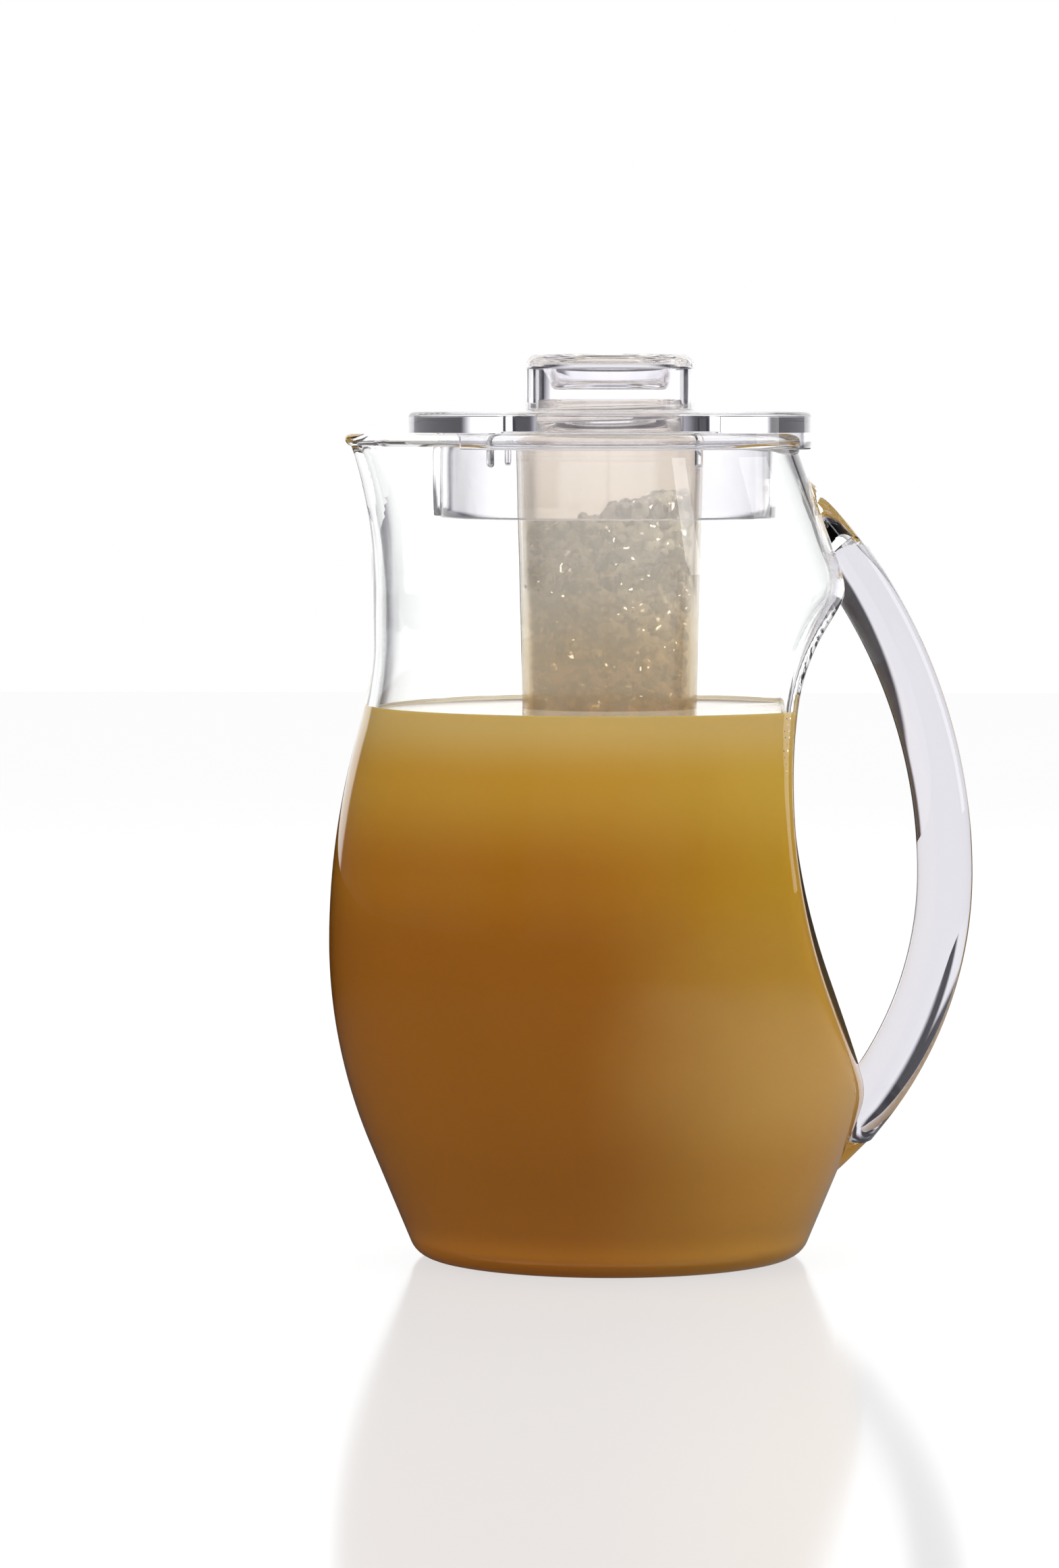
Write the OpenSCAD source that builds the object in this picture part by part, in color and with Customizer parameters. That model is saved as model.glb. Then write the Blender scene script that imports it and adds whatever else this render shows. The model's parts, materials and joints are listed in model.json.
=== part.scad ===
// Clear plastic serving pitcher with a lift-off lid and a screw-in ice core.
// The body is a round pear with a pouring lip on -X and a hand recess on +X.
// Origin: centre of the flat foot. +Z is up, +X points to the handle.

/* [Body] */
// Widest radius of the belly
belly_r = 78.2; // [70:0.1:86]
// Height of the widest point of the belly
belly_z = 88; // [80:0.5:96]
// Radius of the curve from the belly down to the foot
belly_low_arc = 146; // [130:1:160]
// Radius of the curve from the belly up to the waist
belly_up_arc = 215; // [190:1:235]
// Lean of the straight wall above the foot, in degrees
foot_lean = 22.6; // [18:0.1:26]
// Rounding between the foot and the wall
foot_round = 7; // [4:0.5:9]
// How far the waist lies in from the belly
waist_in = 12; // [9:0.1:15]
// Height where the waist turns upright
waist_z = 174; // [168:0.5:180]
// Rounding of the shoulder
shoulder_round = 35; // [20:0.5:45]
// Outer radius of the neck at the rim
rim_r = 51; // [49:0.1:52]
// Height of the shoulder and neck, up from the upright waist to the rim
neck_tall = 46.9; // [44:0.1:50]
// Height of the upright waist between the belly and the shoulder
waist_tall = 8.5; // [6:0.1:12]
// Thickness of the wall
wall = 2.7; // [2:0.1:3.5]
// Thickness of the floor
floor_t = 4; // [3:0.1:6]
// Radius of the round bead along the rim
bead_r = 1.7; // [1.2:0.1:2]
// How far the bead stands out of the wall
bead_out = 1.2; // [0.8:0.1:2]
// How far the bead lies below the rim
bead_low = 0.2; // [0.1:0.05:0.5]

/* [Spout] */
// Height above the waist where the spout starts to lean out
spout_rise = 5.5; // [3:0.5:8]
// Reach of the spout's wall at the rim, out past the waist
spout_out = 6.8; // [4:0.1:9]
// Plan radius of the spout's tip at the rim
spout_tip_r = 12; // [9:0.5:16]
// Plan radius of the hollow flanks that join the spout to the neck
spout_flank_r = 100; // [70:1:150]

/* [Hand recess] */
// Distance from the body axis to the deepest line of the recess
recess_x = 51; // [48:0.1:56]
// Height of the deepest line of the recess
recess_z = 136; // [130:0.5:142]
// Radius of the long curve below the deepest line
recess_low_arc = 180; // [150:1:210]
// Lean of the straight run that ends the recess below, in degrees
recess_low_lean = 20; // [17:0.5:23]
// Radius of the slow curve above the deepest line
recess_mid_arc = 140; // [120:1:160]
// Lean where the slow curve hands over to the tight one, in degrees
recess_mid_lean = 8; // [6:0.5:10]
// Radius of the tight curve under the shoulder
recess_top_arc = 50; // [40:1:60]
// Lean of the short run that ends the recess above, in degrees
recess_top_lean = 35; // [30:0.5:40]

/* [Handle] */
// Distance from the body axis to the middle of the handle at its widest
handle_x = 93.4; // [90:0.1:98]
// Height of the widest point of the handle
handle_z = 107; // [100:0.5:114]
// Radius of the handle's upper sweep, along its middle
handle_up_arc = 149; // [142:0.5:156]
// Radius of the handle's lower sweep, along its middle
handle_low_arc = 104.5; // [100:0.5:109]
// Thickness of the handle in the plane of the sweep
handle_t = 15.3; // [13:0.1:17]
// Width of the handle across the hand
handle_w = 21; // [18:0.5:26]
// Angle on the upper sweep of the handle's bonded end, in degrees
joint_up_a = 33.7; // [33:0.1:34.5]
// Angle on the lower sweep of the handle's bonded end, in degrees
joint_low_a = 38.7; // [38:0.1:39.5]
// Step from the handle's surface down to the boss that holds it
boss_step = 0.6; // [0.3:0.1:1]
// Degrees of sweep that a boss runs on into the wall of the body
boss_run = 16; // [14:0.5:18]
// Gap left by the bond between the handle and the body
bond_gap = 0.05; // [0.03:0.01:0.1]

/* [Lid] */
// How far the lid's plate reaches past the rim
lid_over = 5; // [4.6:0.1:7]
// Thickness of the lid's plate
lid_t = 5.8; // [4:0.1:7]
// Rounding of the plate's top edge
lid_round = 1.5; // [1:0.1:2.5]
// Gap between the rim and the plate
lid_seat_gap = 0.3; // [0.3:0.05:0.6]
// Drop of the outer ring below the plate
ring_drop = 4.6; // [3:0.1:6]
// Wall of the outer ring
ring_wall = 1.3; // [1:0.1:1.4]
// Gap between the neck and the skirt that hangs in it
skirt_gap = 1.9; // [1.6:0.1:4]
// Wall of the skirt
skirt_wall = 1.9; // [1.4:0.1:2.4]
// Length of the skirt below the plate
skirt_drop = 24; // [20:0.5:27]
// Share of the gap beside the skirt that a centring peg takes up
peg_share = 0.72; // [0.6:0.02:0.8]
// Length of each centring peg below the plate
peg_drop = 9.8; // [7:0.1:14]
// How far the fin stands out of the skirt towards the spout
fin_out = 1.8; // [1:0.1:2.4]
// Thickness of the fin
fin_t = 2; // [1.4:0.1:3]

/* [Knob] */
// Outer radius of the knob
knob_r = 23.5; // [23:0.1:26]
// Height of the knob above the plate
knob_h = 15.9; // [13:0.1:18]
// Wall of the knob
knob_wall = 2.8; // [2.4:0.1:3.2]
// Rounding of the knob's top edge
knob_round = 3.2; // [2:0.1:4]
// Width of the knob's top around the dish
dish_edge = 5.3; // [4.6:0.1:7]
// How far the dish's floor lies in from its mouth
dish_slant = 3.7; // [2:0.1:5]
// Depth of the dish
dish_deep = 7.6; // [5:0.1:8.5]

/* [Ice core] */
// Width of the core's shoulder around the knob's wall
core_out = 2.6; // [1:0.1:4]
// Taper of the core's wall, down to its foot
core_taper = 4.3; // [3:0.1:6]
// Height of the core's foot above the jug's foot
core_foot_z = 45; // [42:0.5:60]
// Wall of the core
core_wall = 2; // [1.5:0.1:2.6]
// Rounding of the core's shoulder
core_round = 2.4; // [1.6:0.1:3.5]
// Rounding of the core's foot
core_foot_round = 5; // [3:0.5:8]
// Height of the threaded neck above the shoulder
neck_h = 9.3; // [7:0.1:10]
// Depth left between the neck and the knob's bore for the thread
thread_gap = 0.7; // [0.5:0.05:0.9]
// Gap between the core's shoulder and the plate
core_seat_gap = 0.3; // [0.3:0.05:0.6]

/* [Hidden] */

// Steps in degrees for the curves of outlines
arc_step = 3;
// Number of sides of round solids
round_sides = 72;
// Number of sides of thin rods and beads
rod_sides = 24;
// Sides of the handle's section, and rings along each of its two sweeps
grip_sides = 28;
grip_rings = 16;
// Overrun of every cut past the face it opens
over = 1;
// Radius of the handle's bulging end, as a share of its thickness
end_share = 0.6;

// Radius of the waist, and the heights of the shoulder and the rim
waist_r = belly_r - waist_in;
shoulder_z = waist_z + waist_tall;
rim_z = shoulder_z + neck_tall;
// The spout's wall: where it starts to lean, and how far it reaches at the rim
spout_z = shoulder_z + spout_rise;
spout_reach = waist_r + spout_out;

// Middle of the shoulder's rounding, and the lean of the neck that is tangent to it
shoulder_cx = waist_r - shoulder_round;
neck_rise = rim_z - shoulder_z;
neck_run = rim_r - shoulder_cx;
neck_span = sqrt(neck_run * neck_run + neck_rise * neck_rise);
neck_lean = atan2(neck_rise, neck_run) - acos(shoulder_round / neck_span);
// Height where the shoulder's rounding ends and the neck's cone begins
cone_z = shoulder_z + shoulder_round * sin(neck_lean);

// Lean where the belly's upper curve hands over to the waist's hollow one
waist_lean = 2 * atan2(belly_r - waist_r, waist_z - belly_z);
waist_arc = (waist_z - belly_z) / sin(waist_lean) - belly_up_arc;

// Height and radius where the belly's lower curve meets the straight wall
low_z = belly_z - belly_low_arc * sin(foot_lean);
low_r = belly_r - belly_low_arc * (1 - cos(foot_lean));

// Points of an arc in a vertical plane, as pairs of radius and height
function arc_points(cx, cz, r, from, to) =
    let (steps = max(2, ceil(abs(to - from) / arc_step)))
    [for (i = [0 : steps])
        let (a = from + (to - from) * i / steps)
        [cx + r * cos(a), cz + r * sin(a)]];

// Outline of the body from the foot up to the start of the neck, moved in by inset
// and closed along the axis. base_z is the height of its flat underside.
function body_outline(inset, base_z) =
    let (r_line = low_r - inset * cos(foot_lean),
         z_line = low_z + inset * sin(foot_lean),
         round_r = max(foot_round - inset, foot_round / 2),
         // where the straight wall would meet the flat underside
         r_base = r_line - (z_line - base_z) * tan(foot_lean),
         reach = round_r * tan((90 - foot_lean) / 2),
         cx = r_base - reach)
    concat(
        [[0, base_z]],
        arc_points(cx, base_z + round_r, round_r, -90, -foot_lean),
        arc_points(belly_r - belly_low_arc, belly_z, belly_low_arc - inset, -foot_lean, 0),
        arc_points(belly_r - belly_up_arc, belly_z, belly_up_arc - inset, arc_step, waist_lean),
        arc_points(waist_r + waist_arc, waist_z, waist_arc + inset, 180 + waist_lean - arc_step, 180),
        [[waist_r - inset, shoulder_z], [0, shoulder_z]]
    );

module body_core(inset, base_z) {
    rotate_extrude($fn = round_sides)
        polygon(body_outline(inset, base_z));
}

// Radius of the neck at a height, moved in by inset: the shoulder's rounding, then a cone
function neck_r_at(z, inset) =
    z < shoulder_z + (shoulder_round - inset) * sin(neck_lean)
        ? shoulder_cx + sqrt(pow(shoulder_round - inset, 2) - pow(z - shoulder_z, 2))
        : rim_r + (rim_z - z) * tan(neck_lean) - inset / cos(neck_lean);

// Reach of the spout's wall on -X at a height: upright, then an arc out to the rim
spout_tall = rim_z - spout_z;
spout_arc = (spout_tall * spout_tall + spout_out * spout_out) / (2 * spout_out);
function spout_x_at(z, inset) =
    waist_r + spout_arc - sqrt(pow(spout_arc + inset, 2) - pow(max(z - spout_z, 0), 2));

// The tip circle's centre moves out with the spout, and its radius shrinks with it
spout_share = (rim_r - spout_tip_r) / (spout_reach - spout_tip_r);
tip_sides = 6;
flank_sides = 4;
back_sides = 24;

// Plan outline of the neck at a height, with the spout on -X, moved in by inset.
// Its three curves are the back, a hollow flank each side and the tip.
function neck_ring(z, inset) =
    let (r = neck_r_at(z, inset) + inset,
         c = (spout_x_at(z, inset) + inset - r) / (1 - spout_share),
         tip_r = r - spout_share * c,
         far = r + spout_flank_r,
         // angle of the flank's centre from -X, seen from the axis
         a = acos(spout_share + c * (1 - spout_share * spout_share) / (2 * far)),
         fx = -far * cos(a),
         fy = far * sin(a),
         // angle of the flank's centre from -X, seen from the tip circle's centre
         b = atan2(fy, -fx - c),
         back_r = r - inset,
         nose_r = tip_r - inset,
         side_r = spout_flank_r + inset)
    concat(
        [for (i = [0 : back_sides])
            let (t = -(180 - a) + 2 * (180 - a) * i / back_sides)
            [back_r * cos(t), back_r * sin(t), z]],
        [for (i = [1 : flank_sides])
            let (t = -a + (a - b) * i / flank_sides)
            [fx + side_r * cos(t), fy + side_r * sin(t), z]],
        [for (i = [1 : tip_sides])
            let (t = 180 - b + 2 * b * i / tip_sides)
            [-c + nose_r * cos(t), nose_r * sin(t), z]],
        [for (i = [1 : flank_sides - 1])
            let (t = b + (a - b) * i / flank_sides)
            [fx + side_r * cos(t), -fy + side_r * sin(t), z]]
    );

neck_levels = 5;
ring_points = back_sides + 1 + flank_sides + tip_sides + flank_sides - 1;

// Closed solid through level rings that all have the same number of points
module loft(rings, n) {
    m = len(rings);
    points = [for (ring = rings) each ring];
    sides = [for (k = [0 : m - 2]) for (i = [0 : n - 1]) each [
        [k * n + i, k * n + (i + 1) % n, (k + 1) * n + (i + 1) % n],
        [k * n + i, (k + 1) * n + (i + 1) % n, (k + 1) * n + i]]];
    polyhedron(
        points = points,
        faces = concat(
            [for (f = sides) [f[0], f[2], f[1]]],
            [[for (i = [0 : n - 1]) i]],
            [[for (i = [n - 1 : -1 : 0]) (m - 1) * n + i]]),
        convexity = 6);
}

// The ring's points drawn in to a circle about the axis, at another height
function round_ring(ring, r, z) =
    [for (p = ring) let (s = r / norm([p[0], p[1]])) [p[0] * s, p[1] * s, z]];

// Middle of the rim's round bead, and the turn of its round where it leaves the wall
bead_z = rim_z - bead_r - bead_low;
bead_turn = acos(1 - bead_out / bead_r);
bead_rings = 4;
// Step in from the body to the lofted neck, which keeps their faces apart
neck_step = 0.3;

// The neck and spout, from just below the shoulder's end up, moved in by inset.
// The outer one, of no inset, ends with the bead.
module neck_core(inset, top_z) {
    plain_z = inset == 0 ? bead_z - bead_r * sin(bead_turn) : rim_z;
    rings = [for (k = [1 : neck_levels])
        neck_ring(shoulder_z + (plain_z - shoulder_z) * k / neck_levels, inset)];
    foot = [
        round_ring(rings[0], waist_r - inset - 2 * neck_step, shoulder_z - over),
        round_ring(rings[0], waist_r - inset - neck_step, shoulder_z)];
    bead = [for (k = [1 : bead_rings])
        let (t = bead_turn * (2 * k / bead_rings - 1))
        neck_ring(bead_z + bead_r * sin(t), bead_r - bead_out - bead_r * cos(t))];
    head = [for (p = neck_ring(rim_z, inset)) [p[0], p[1], top_z]];
    loft(concat(
        foot,
        rings,
        inset == 0 ? bead : [],
        inset == 0 || top_z > rim_z ? [head] : []
    ), ring_points);
}

// Side outline of the space that the hand recess takes away, moved in by inset
function recess_outline(inset) =
    let (cx_low = recess_x + recess_low_arc,
         cx_mid = recess_x + recess_mid_arc,
         hand = recess_mid_arc - recess_top_arc,
         cx_top = cx_mid - hand * cos(recess_mid_lean),
         cz_top = recess_z + hand * sin(recess_mid_lean),
         far = 2 * belly_r,
         low = arc_points(cx_low, recess_z, recess_low_arc + inset, 180 + recess_low_lean, 180),
         mid = arc_points(cx_mid, recess_z, recess_mid_arc + inset,
             180 - arc_step, 180 - recess_mid_lean),
         top = arc_points(cx_top, cz_top, recess_top_arc + inset,
             180 - recess_mid_lean - arc_step, 180 - recess_top_lean),
         first = low[0],
         last = top[len(top) - 1])
    concat(
        [[far, first[1] - (far - first[0]) / tan(recess_low_lean)]],
        low, mid, top,
        [[far, last[1] + (far - last[0]) / tan(recess_top_lean)]]
    );

module recess_cut(inset) {
    rotate([90, 0, 0])
        linear_extrude(height = 3 * belly_r, center = true)
            polygon(recess_outline(inset));
}

// The whole body with the hand recess taken out, moved in by inset
module body_part(inset, base_z, top_z) {
    difference() {
        union() {
            body_core(inset, base_z);
            neck_core(inset, top_z);
        }
        recess_cut(inset);
    }
}

// Section of the handle: a flat-sided oval, made smaller by inset
module handle_section(inset) {
    r = handle_t / 2 - inset;
    half = handle_w / 2 - handle_t / 2;
    for (side = [-1, 1])
        translate([0, side * half])
            circle(r = r, $fn = rod_sides);
    square([2 * r, 2 * half], center = true);
}

// Section swept in the plane of the handle, up (1) or down (-1) from its widest point
module handle_sweep(arc, from, to, way, inset) {
    start = way > 0 ? from : -to;
    translate([handle_x - arc, 0, handle_z])
        rotate([90, 0, 0])
            rotate([0, 0, start])
                rotate_extrude(angle = to - from, $fn = round_sides)
                    translate([arc, 0])
                        handle_section(inset);
}

// Places the origin at the middle of the handle's section at an angle of a sweep,
// with +Y running on along the sweep
module at_joint(arc, a, way) {
    translate([handle_x - arc + arc * cos(a), 0, handle_z + way * arc * sin(a)])
        rotate([90, 0, 0])
            rotate([0, 0, way * a])
                scale_way(way)
                    children();
}

module scale_way(way) {
    if (way > 0)
        children();
    else
        rotate([180, 0, 0])
            children();
}

// The bonded end of the handle bulges: it is cut to a cylinder about the section's middle
end_r = handle_t * end_share;
module end_cut() {
    difference() {
        translate([-handle_t, 0, -handle_w])
            cube([2 * handle_t, 2 * handle_t, 2 * handle_w]);
        cylinder(r = end_r, h = 3 * handle_w, center = true, $fn = round_sides);
    }
}

// Degrees that a sweep runs on past a joint
function run_on(arc) = handle_t / arc * 180 / PI;

// Section of the handle at an angle of a sweep, as points in space
function handle_ring(arc, a, way) =
    let (r = handle_t / 2, half = handle_w / 2 - handle_t / 2)
    [for (i = [0 : grip_sides - 1])
        let (t = 360 * (i + 0.5) / grip_sides,
             out = arc + r * cos(t))
        [handle_x - arc + out * cos(a),
         r * sin(t) + half * sign(sin(t)),
         handle_z + way * out * sin(a)]];

// The whole handle as one loft, from past its lower end to past its upper end
module handle_stock() {
    low_end = joint_low_a + run_on(handle_low_arc);
    up_end = joint_up_a + run_on(handle_up_arc);
    loft(concat(
        [for (k = [grip_rings : -1 : 1])
            handle_ring(handle_low_arc, low_end * k / grip_rings, -1)],
        [for (k = [0 : grip_rings])
            handle_ring(handle_up_arc, up_end * k / grip_rings, 1)]
    ), grip_sides);
}

// A boss goes on where the handle ends, to inside the wall of the body
module boss(arc, a, way) {
    difference() {
        handle_sweep(arc, a, a + boss_run, way, boss_step);
        at_joint(arc, a, way)
            cylinder(r = end_r + bond_gap, h = 2 * handle_w, center = true, $fn = round_sides);
    }
}

module jug() {
    color([0.93, 0.95, 0.97, 0.4])
        difference() {
            union() {
                body_part(0, 0, rim_z);
                boss(handle_up_arc, joint_up_a, 1);
                boss(handle_low_arc, joint_low_a, -1);
            }
            body_part(wall, floor_t, rim_z + over);
        }
}

module handle() {
    color([0.86, 0.86, 0.92, 0.6])
        difference() {
            handle_stock();
            at_joint(handle_up_arc, joint_up_a, 1)
                end_cut();
            at_joint(handle_low_arc, joint_low_a, -1)
                end_cut();
            body_part(-bond_gap, 0, rim_z);
        }
}

// Radii of the lid: its skirt keeps clear of the neck's inside at the rim
neck_bore_r = rim_r - wall / cos(neck_lean);
lid_r = rim_r + lid_over;
skirt_r = neck_bore_r - skirt_gap;
// Each peg stands half in the skirt and stops short of the neck
peg_r = peg_share * skirt_gap * 4 / 5;
peg_at_r = skirt_r + peg_r / 4;
// Radii of the dish in the knob
dish_r = knob_r - dish_edge;
dish_floor_r = dish_r - dish_slant;
// Heights of the lid
plate_z = rim_z + lid_seat_gap;
plate_top = plate_z + lid_t;
knob_top = plate_top + knob_h;
dish_z = knob_top - dish_deep;
// Floor of the dish and wall around it
dish_wall = 2.3;
// Bore of the knob, which takes the neck of the core
bore_r = knob_r - knob_wall;
// The bore's end follows the outside of the dish
groove_z = knob_top - knob_wall;
dish_slope = (dish_r - dish_floor_r) / dish_deep;
function dish_back_r(z) = dish_floor_r + dish_wall + (z - dish_z) * dish_slope;

// Angles of the pegs, and of the ends of the outer ring, measured from the spout
peg_angles = [-122, -48, 48, 122];
ring_gap_a = 44.5;

// The fin stops a little short of the skirt's end
fin_short = 0.4;

module lid_outline() {
    difference() {
        union() {
            polygon(concat(
                [[0, plate_z], [lid_r, plate_z]],
                arc_points(lid_r - lid_round, plate_top - lid_round, lid_round, 0, 90),
                [[knob_r, plate_top]],
                arc_points(knob_r - knob_round, knob_top - knob_round, knob_round, 0, 90),
                [[0, knob_top]]
            ));
            translate([skirt_r - skirt_wall, plate_z - skirt_drop])
                square([skirt_wall, skirt_drop + lid_t / 2]);
            translate([lid_r - ring_wall, plate_z - ring_drop])
                square([ring_wall, ring_drop + lid_t / 2]);
        }
        // bore of the knob
        polygon([
            [0, plate_z - over],
            [bore_r, plate_z - over],
            [bore_r, groove_z - dish_wall / 2],
            [dish_back_r(groove_z), groove_z],
            [dish_back_r(dish_z - dish_wall), dish_z - dish_wall],
            [0, dish_z - dish_wall]
        ]);
        // dish in the top of the knob
        polygon([
            [0, dish_z],
            [dish_floor_r, dish_z],
            [dish_r, knob_top],
            [dish_r + over * dish_slope, knob_top + over],
            [0, knob_top + over]
        ]);
    }
}

// Peg with a round tip that hangs from the plate beside the skirt
module peg() {
    translate([0, 0, plate_z - peg_drop + peg_r]) {
        cylinder(h = peg_drop - peg_r + lid_t / 2, r = peg_r, $fn = rod_sides);
        sphere(r = peg_r, $fn = rod_sides);
    }
}

module lid() {
    color([0.9, 0.91, 0.94, 0.5])
        difference() {
            union() {
                rotate_extrude($fn = round_sides)
                    lid_outline();
                for (a = peg_angles)
                    rotate([0, 0, 180 + a])
                        translate([peg_at_r, 0, 0])
                            peg();
                translate([-skirt_r - fin_out, -fin_t / 2, plate_z - skirt_drop + fin_short])
                    cube([fin_out + skirt_wall / 2, fin_t, skirt_drop - fin_short + lid_t / 2]);
            }
            // the outer ring is left off over the spout
            rotate([0, 0, 180 - ring_gap_a])
                rotate_extrude(angle = 2 * ring_gap_a, $fn = round_sides)
                    translate([lid_r - ring_wall - over, plate_z - ring_drop - over])
                        square([ring_wall + 2 * over, ring_drop + over]);
        }
}

// Heights and radii of the ice core
core_r = knob_r + core_out;
core_foot_r = core_r - core_taper;
core_top_z = plate_z - core_seat_gap;
core_neck_r = bore_r - thread_gap;
core_neck_top = core_top_z + neck_h;
// Lean of the core's tapered wall
core_lean = atan2(core_r - core_foot_r, core_top_z - core_round - core_foot_z - core_foot_round);

// Outer outline of the core, moved in by inset, up to its shoulder
function core_outline(inset) =
    concat(
        [[0, core_foot_z + inset]],
        arc_points(core_foot_r - core_foot_round, core_foot_z + core_foot_round,
            core_foot_round - inset, -90, -core_lean),
        arc_points(core_r - core_round, core_top_z - core_round,
            core_round - inset, -core_lean, 90)
    );

module ice_core() {
    color([0.93, 0.92, 0.9, 0.8])
        rotate_extrude($fn = round_sides)
            difference() {
                polygon(concat(
                    core_outline(0),
                    [[core_neck_r, core_top_z],
                     [core_neck_r, core_neck_top],
                     [0, core_neck_top]]));
                polygon(concat(
                    core_outline(core_wall),
                    [[core_neck_r - core_wall, core_top_z - core_wall],
                     [core_neck_r - core_wall, core_neck_top + over],
                     [0, core_neck_top + over]]));
            }
}

jug();
handle();
lid();
ice_core();
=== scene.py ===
# %% [markdown]
# # A clear pitcher with a lid and an ice core
#
# The real object is moulded from clear plastic in four pieces: a round body with a pouring
# lip and a hand recess, a loop handle bonded to it, a loose lid with a hollow knob, and a
# frosted cup for ice that screws up into that knob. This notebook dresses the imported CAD
# model. Clear plastic shows every facet by what it bends, so each piece is modelled again
# here as one smooth mesh of the same size, in the same place, and stands for its CAD node.

# %% Load the frame
import json
import math
import random

import bpy
from mathutils import Euler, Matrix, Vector, kdtree

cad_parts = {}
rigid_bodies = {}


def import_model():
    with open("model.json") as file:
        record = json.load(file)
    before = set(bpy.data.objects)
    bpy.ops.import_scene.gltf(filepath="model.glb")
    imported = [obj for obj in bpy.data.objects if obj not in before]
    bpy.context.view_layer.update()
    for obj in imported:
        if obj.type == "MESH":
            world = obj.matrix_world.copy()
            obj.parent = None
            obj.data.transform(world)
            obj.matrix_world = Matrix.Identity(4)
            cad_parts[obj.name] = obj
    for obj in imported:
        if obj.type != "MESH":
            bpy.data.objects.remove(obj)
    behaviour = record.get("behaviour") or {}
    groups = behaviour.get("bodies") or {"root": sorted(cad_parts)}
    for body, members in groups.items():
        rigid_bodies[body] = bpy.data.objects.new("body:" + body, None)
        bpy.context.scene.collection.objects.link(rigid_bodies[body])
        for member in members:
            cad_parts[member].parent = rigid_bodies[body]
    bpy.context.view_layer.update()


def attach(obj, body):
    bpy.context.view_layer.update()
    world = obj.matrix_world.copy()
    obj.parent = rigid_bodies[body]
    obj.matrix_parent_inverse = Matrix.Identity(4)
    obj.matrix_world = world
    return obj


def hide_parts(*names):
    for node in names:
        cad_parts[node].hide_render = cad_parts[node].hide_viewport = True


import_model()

# %% [markdown]
# ## Camera
#
# The photograph was taken with a long lens from a little above the pitcher. A long lens
# keeps both sides of the body nearly parallel, so the distance matters more than usual: it
# sets how far the far rim opens above the near one. The camera is aimed by two angles and
# a distance, which is easier to correct than three coordinates.

# %% Camera
MM = 0.001
AIM = Vector((-22.3 * MM, 0, 131.8 * MM))
DISTANCE = 1.774
TURN = math.radians(2)  # towards +X from the straight front
RISE = math.radians(3.4)

bpy.ops.object.camera_add()
camera = bpy.context.object
camera.name = "photo_camera"
out = Vector((math.sin(TURN) * math.cos(RISE), -math.cos(TURN) * math.cos(RISE), math.sin(RISE)))
camera.location = AIM + out * DISTANCE
camera.rotation_euler = (-out).to_track_quat("-Z", "Y").to_euler()
camera.data.lens = 146
camera.data.sensor_fit = "VERTICAL"
camera.data.sensor_height = 36
camera.data.clip_end = 20
bpy.context.scene.camera = camera
print("camera stands at", [round(v, 3) for v in camera.location])

# %% [markdown]
# ## Helpers for turned shapes
#
# A body, a lid and a cup are all turned shapes, so the same few steps make each of them: a
# single point is extruded along the outline, as when drawing by hand, and the outline is
# spun about the upright axis. The outlines are worked out from arcs, so that a changed
# radius changes the whole curve.

# %% Outline helpers
def deselect():
    """Nothing stays selected, so that the next operator acts on its own mesh alone."""
    if bpy.context.object and bpy.context.object.mode != "OBJECT":
        bpy.ops.object.mode_set(mode="OBJECT")
    bpy.ops.object.select_all(action="DESELECT")


def pick(piece):
    """Makes one piece the only selected one, and the active one."""
    deselect()
    piece.select_set(True)
    bpy.context.view_layer.objects.active = piece
    return piece


def arc(cx, cz, r, start, end, step):
    """Points of an arc in the XZ plane, from one angle to another, in steps of degrees."""
    steps = max(2, math.ceil(abs(end - start) / step))
    turns = [math.radians(start + (end - start) * i / steps) for i in range(steps + 1)]
    return [(cx + r * math.cos(t), cz + r * math.sin(t)) for t in turns]


def evenly(points, gap):
    """The same outline with points added, so that none is further than gap from the next."""
    result = [points[0]]
    for (x0, z0), (x1, z1) in zip(points, points[1:]):
        steps = max(1, math.ceil(math.hypot(x1 - x0, z1 - z0) / gap))
        if math.hypot(x1 - x0, z1 - z0) > 1e-6:
            result += [(x0 + (x1 - x0) * k / steps, z0 + (z1 - z0) * k / steps)
                       for k in range(1, steps + 1)]
    return result


# %% Drawing and turning
DOUBLED = 0.002  # points this near to each other are merged, in millimetres
bpy.context.tool_settings.mesh_select_mode = (True, False, False)  # edit mode picks points


def drawn(name, points):
    """An outline in the XZ plane: one point, extruded from each place to the next. In mm."""
    deselect()
    bpy.ops.mesh.primitive_plane_add(size=MM, location=(0, 0, 0))
    piece = bpy.context.object
    piece.name = piece.data.name = name
    bpy.ops.object.mode_set(mode="EDIT")
    bpy.ops.mesh.merge(type="CENTER")
    bpy.ops.transform.translate(value=(points[0][0] * MM, 0, points[0][1] * MM))
    for (x0, z0), (x1, z1) in zip(points, points[1:]):
        move = ((x1 - x0) * MM, 0, (z1 - z0) * MM)
        bpy.ops.mesh.extrude_region_move(TRANSFORM_OT_translate={"value": move})
    bpy.ops.object.mode_set(mode="OBJECT")
    return piece


def edit_all(piece):
    """Opens a piece in edit mode with all of it selected."""
    pick(piece)
    bpy.ops.object.mode_set(mode="EDIT")
    bpy.ops.mesh.select_all(action="SELECT")
    return piece


def closed(piece):
    """Merges doubled points, and turns the faces of a shut mesh outwards."""
    edit_all(piece)
    bpy.ops.mesh.remove_doubles(threshold=DOUBLED * MM)
    bpy.ops.mesh.normals_make_consistent(inside=False)
    bpy.ops.object.mode_set(mode="OBJECT")
    return piece


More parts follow.
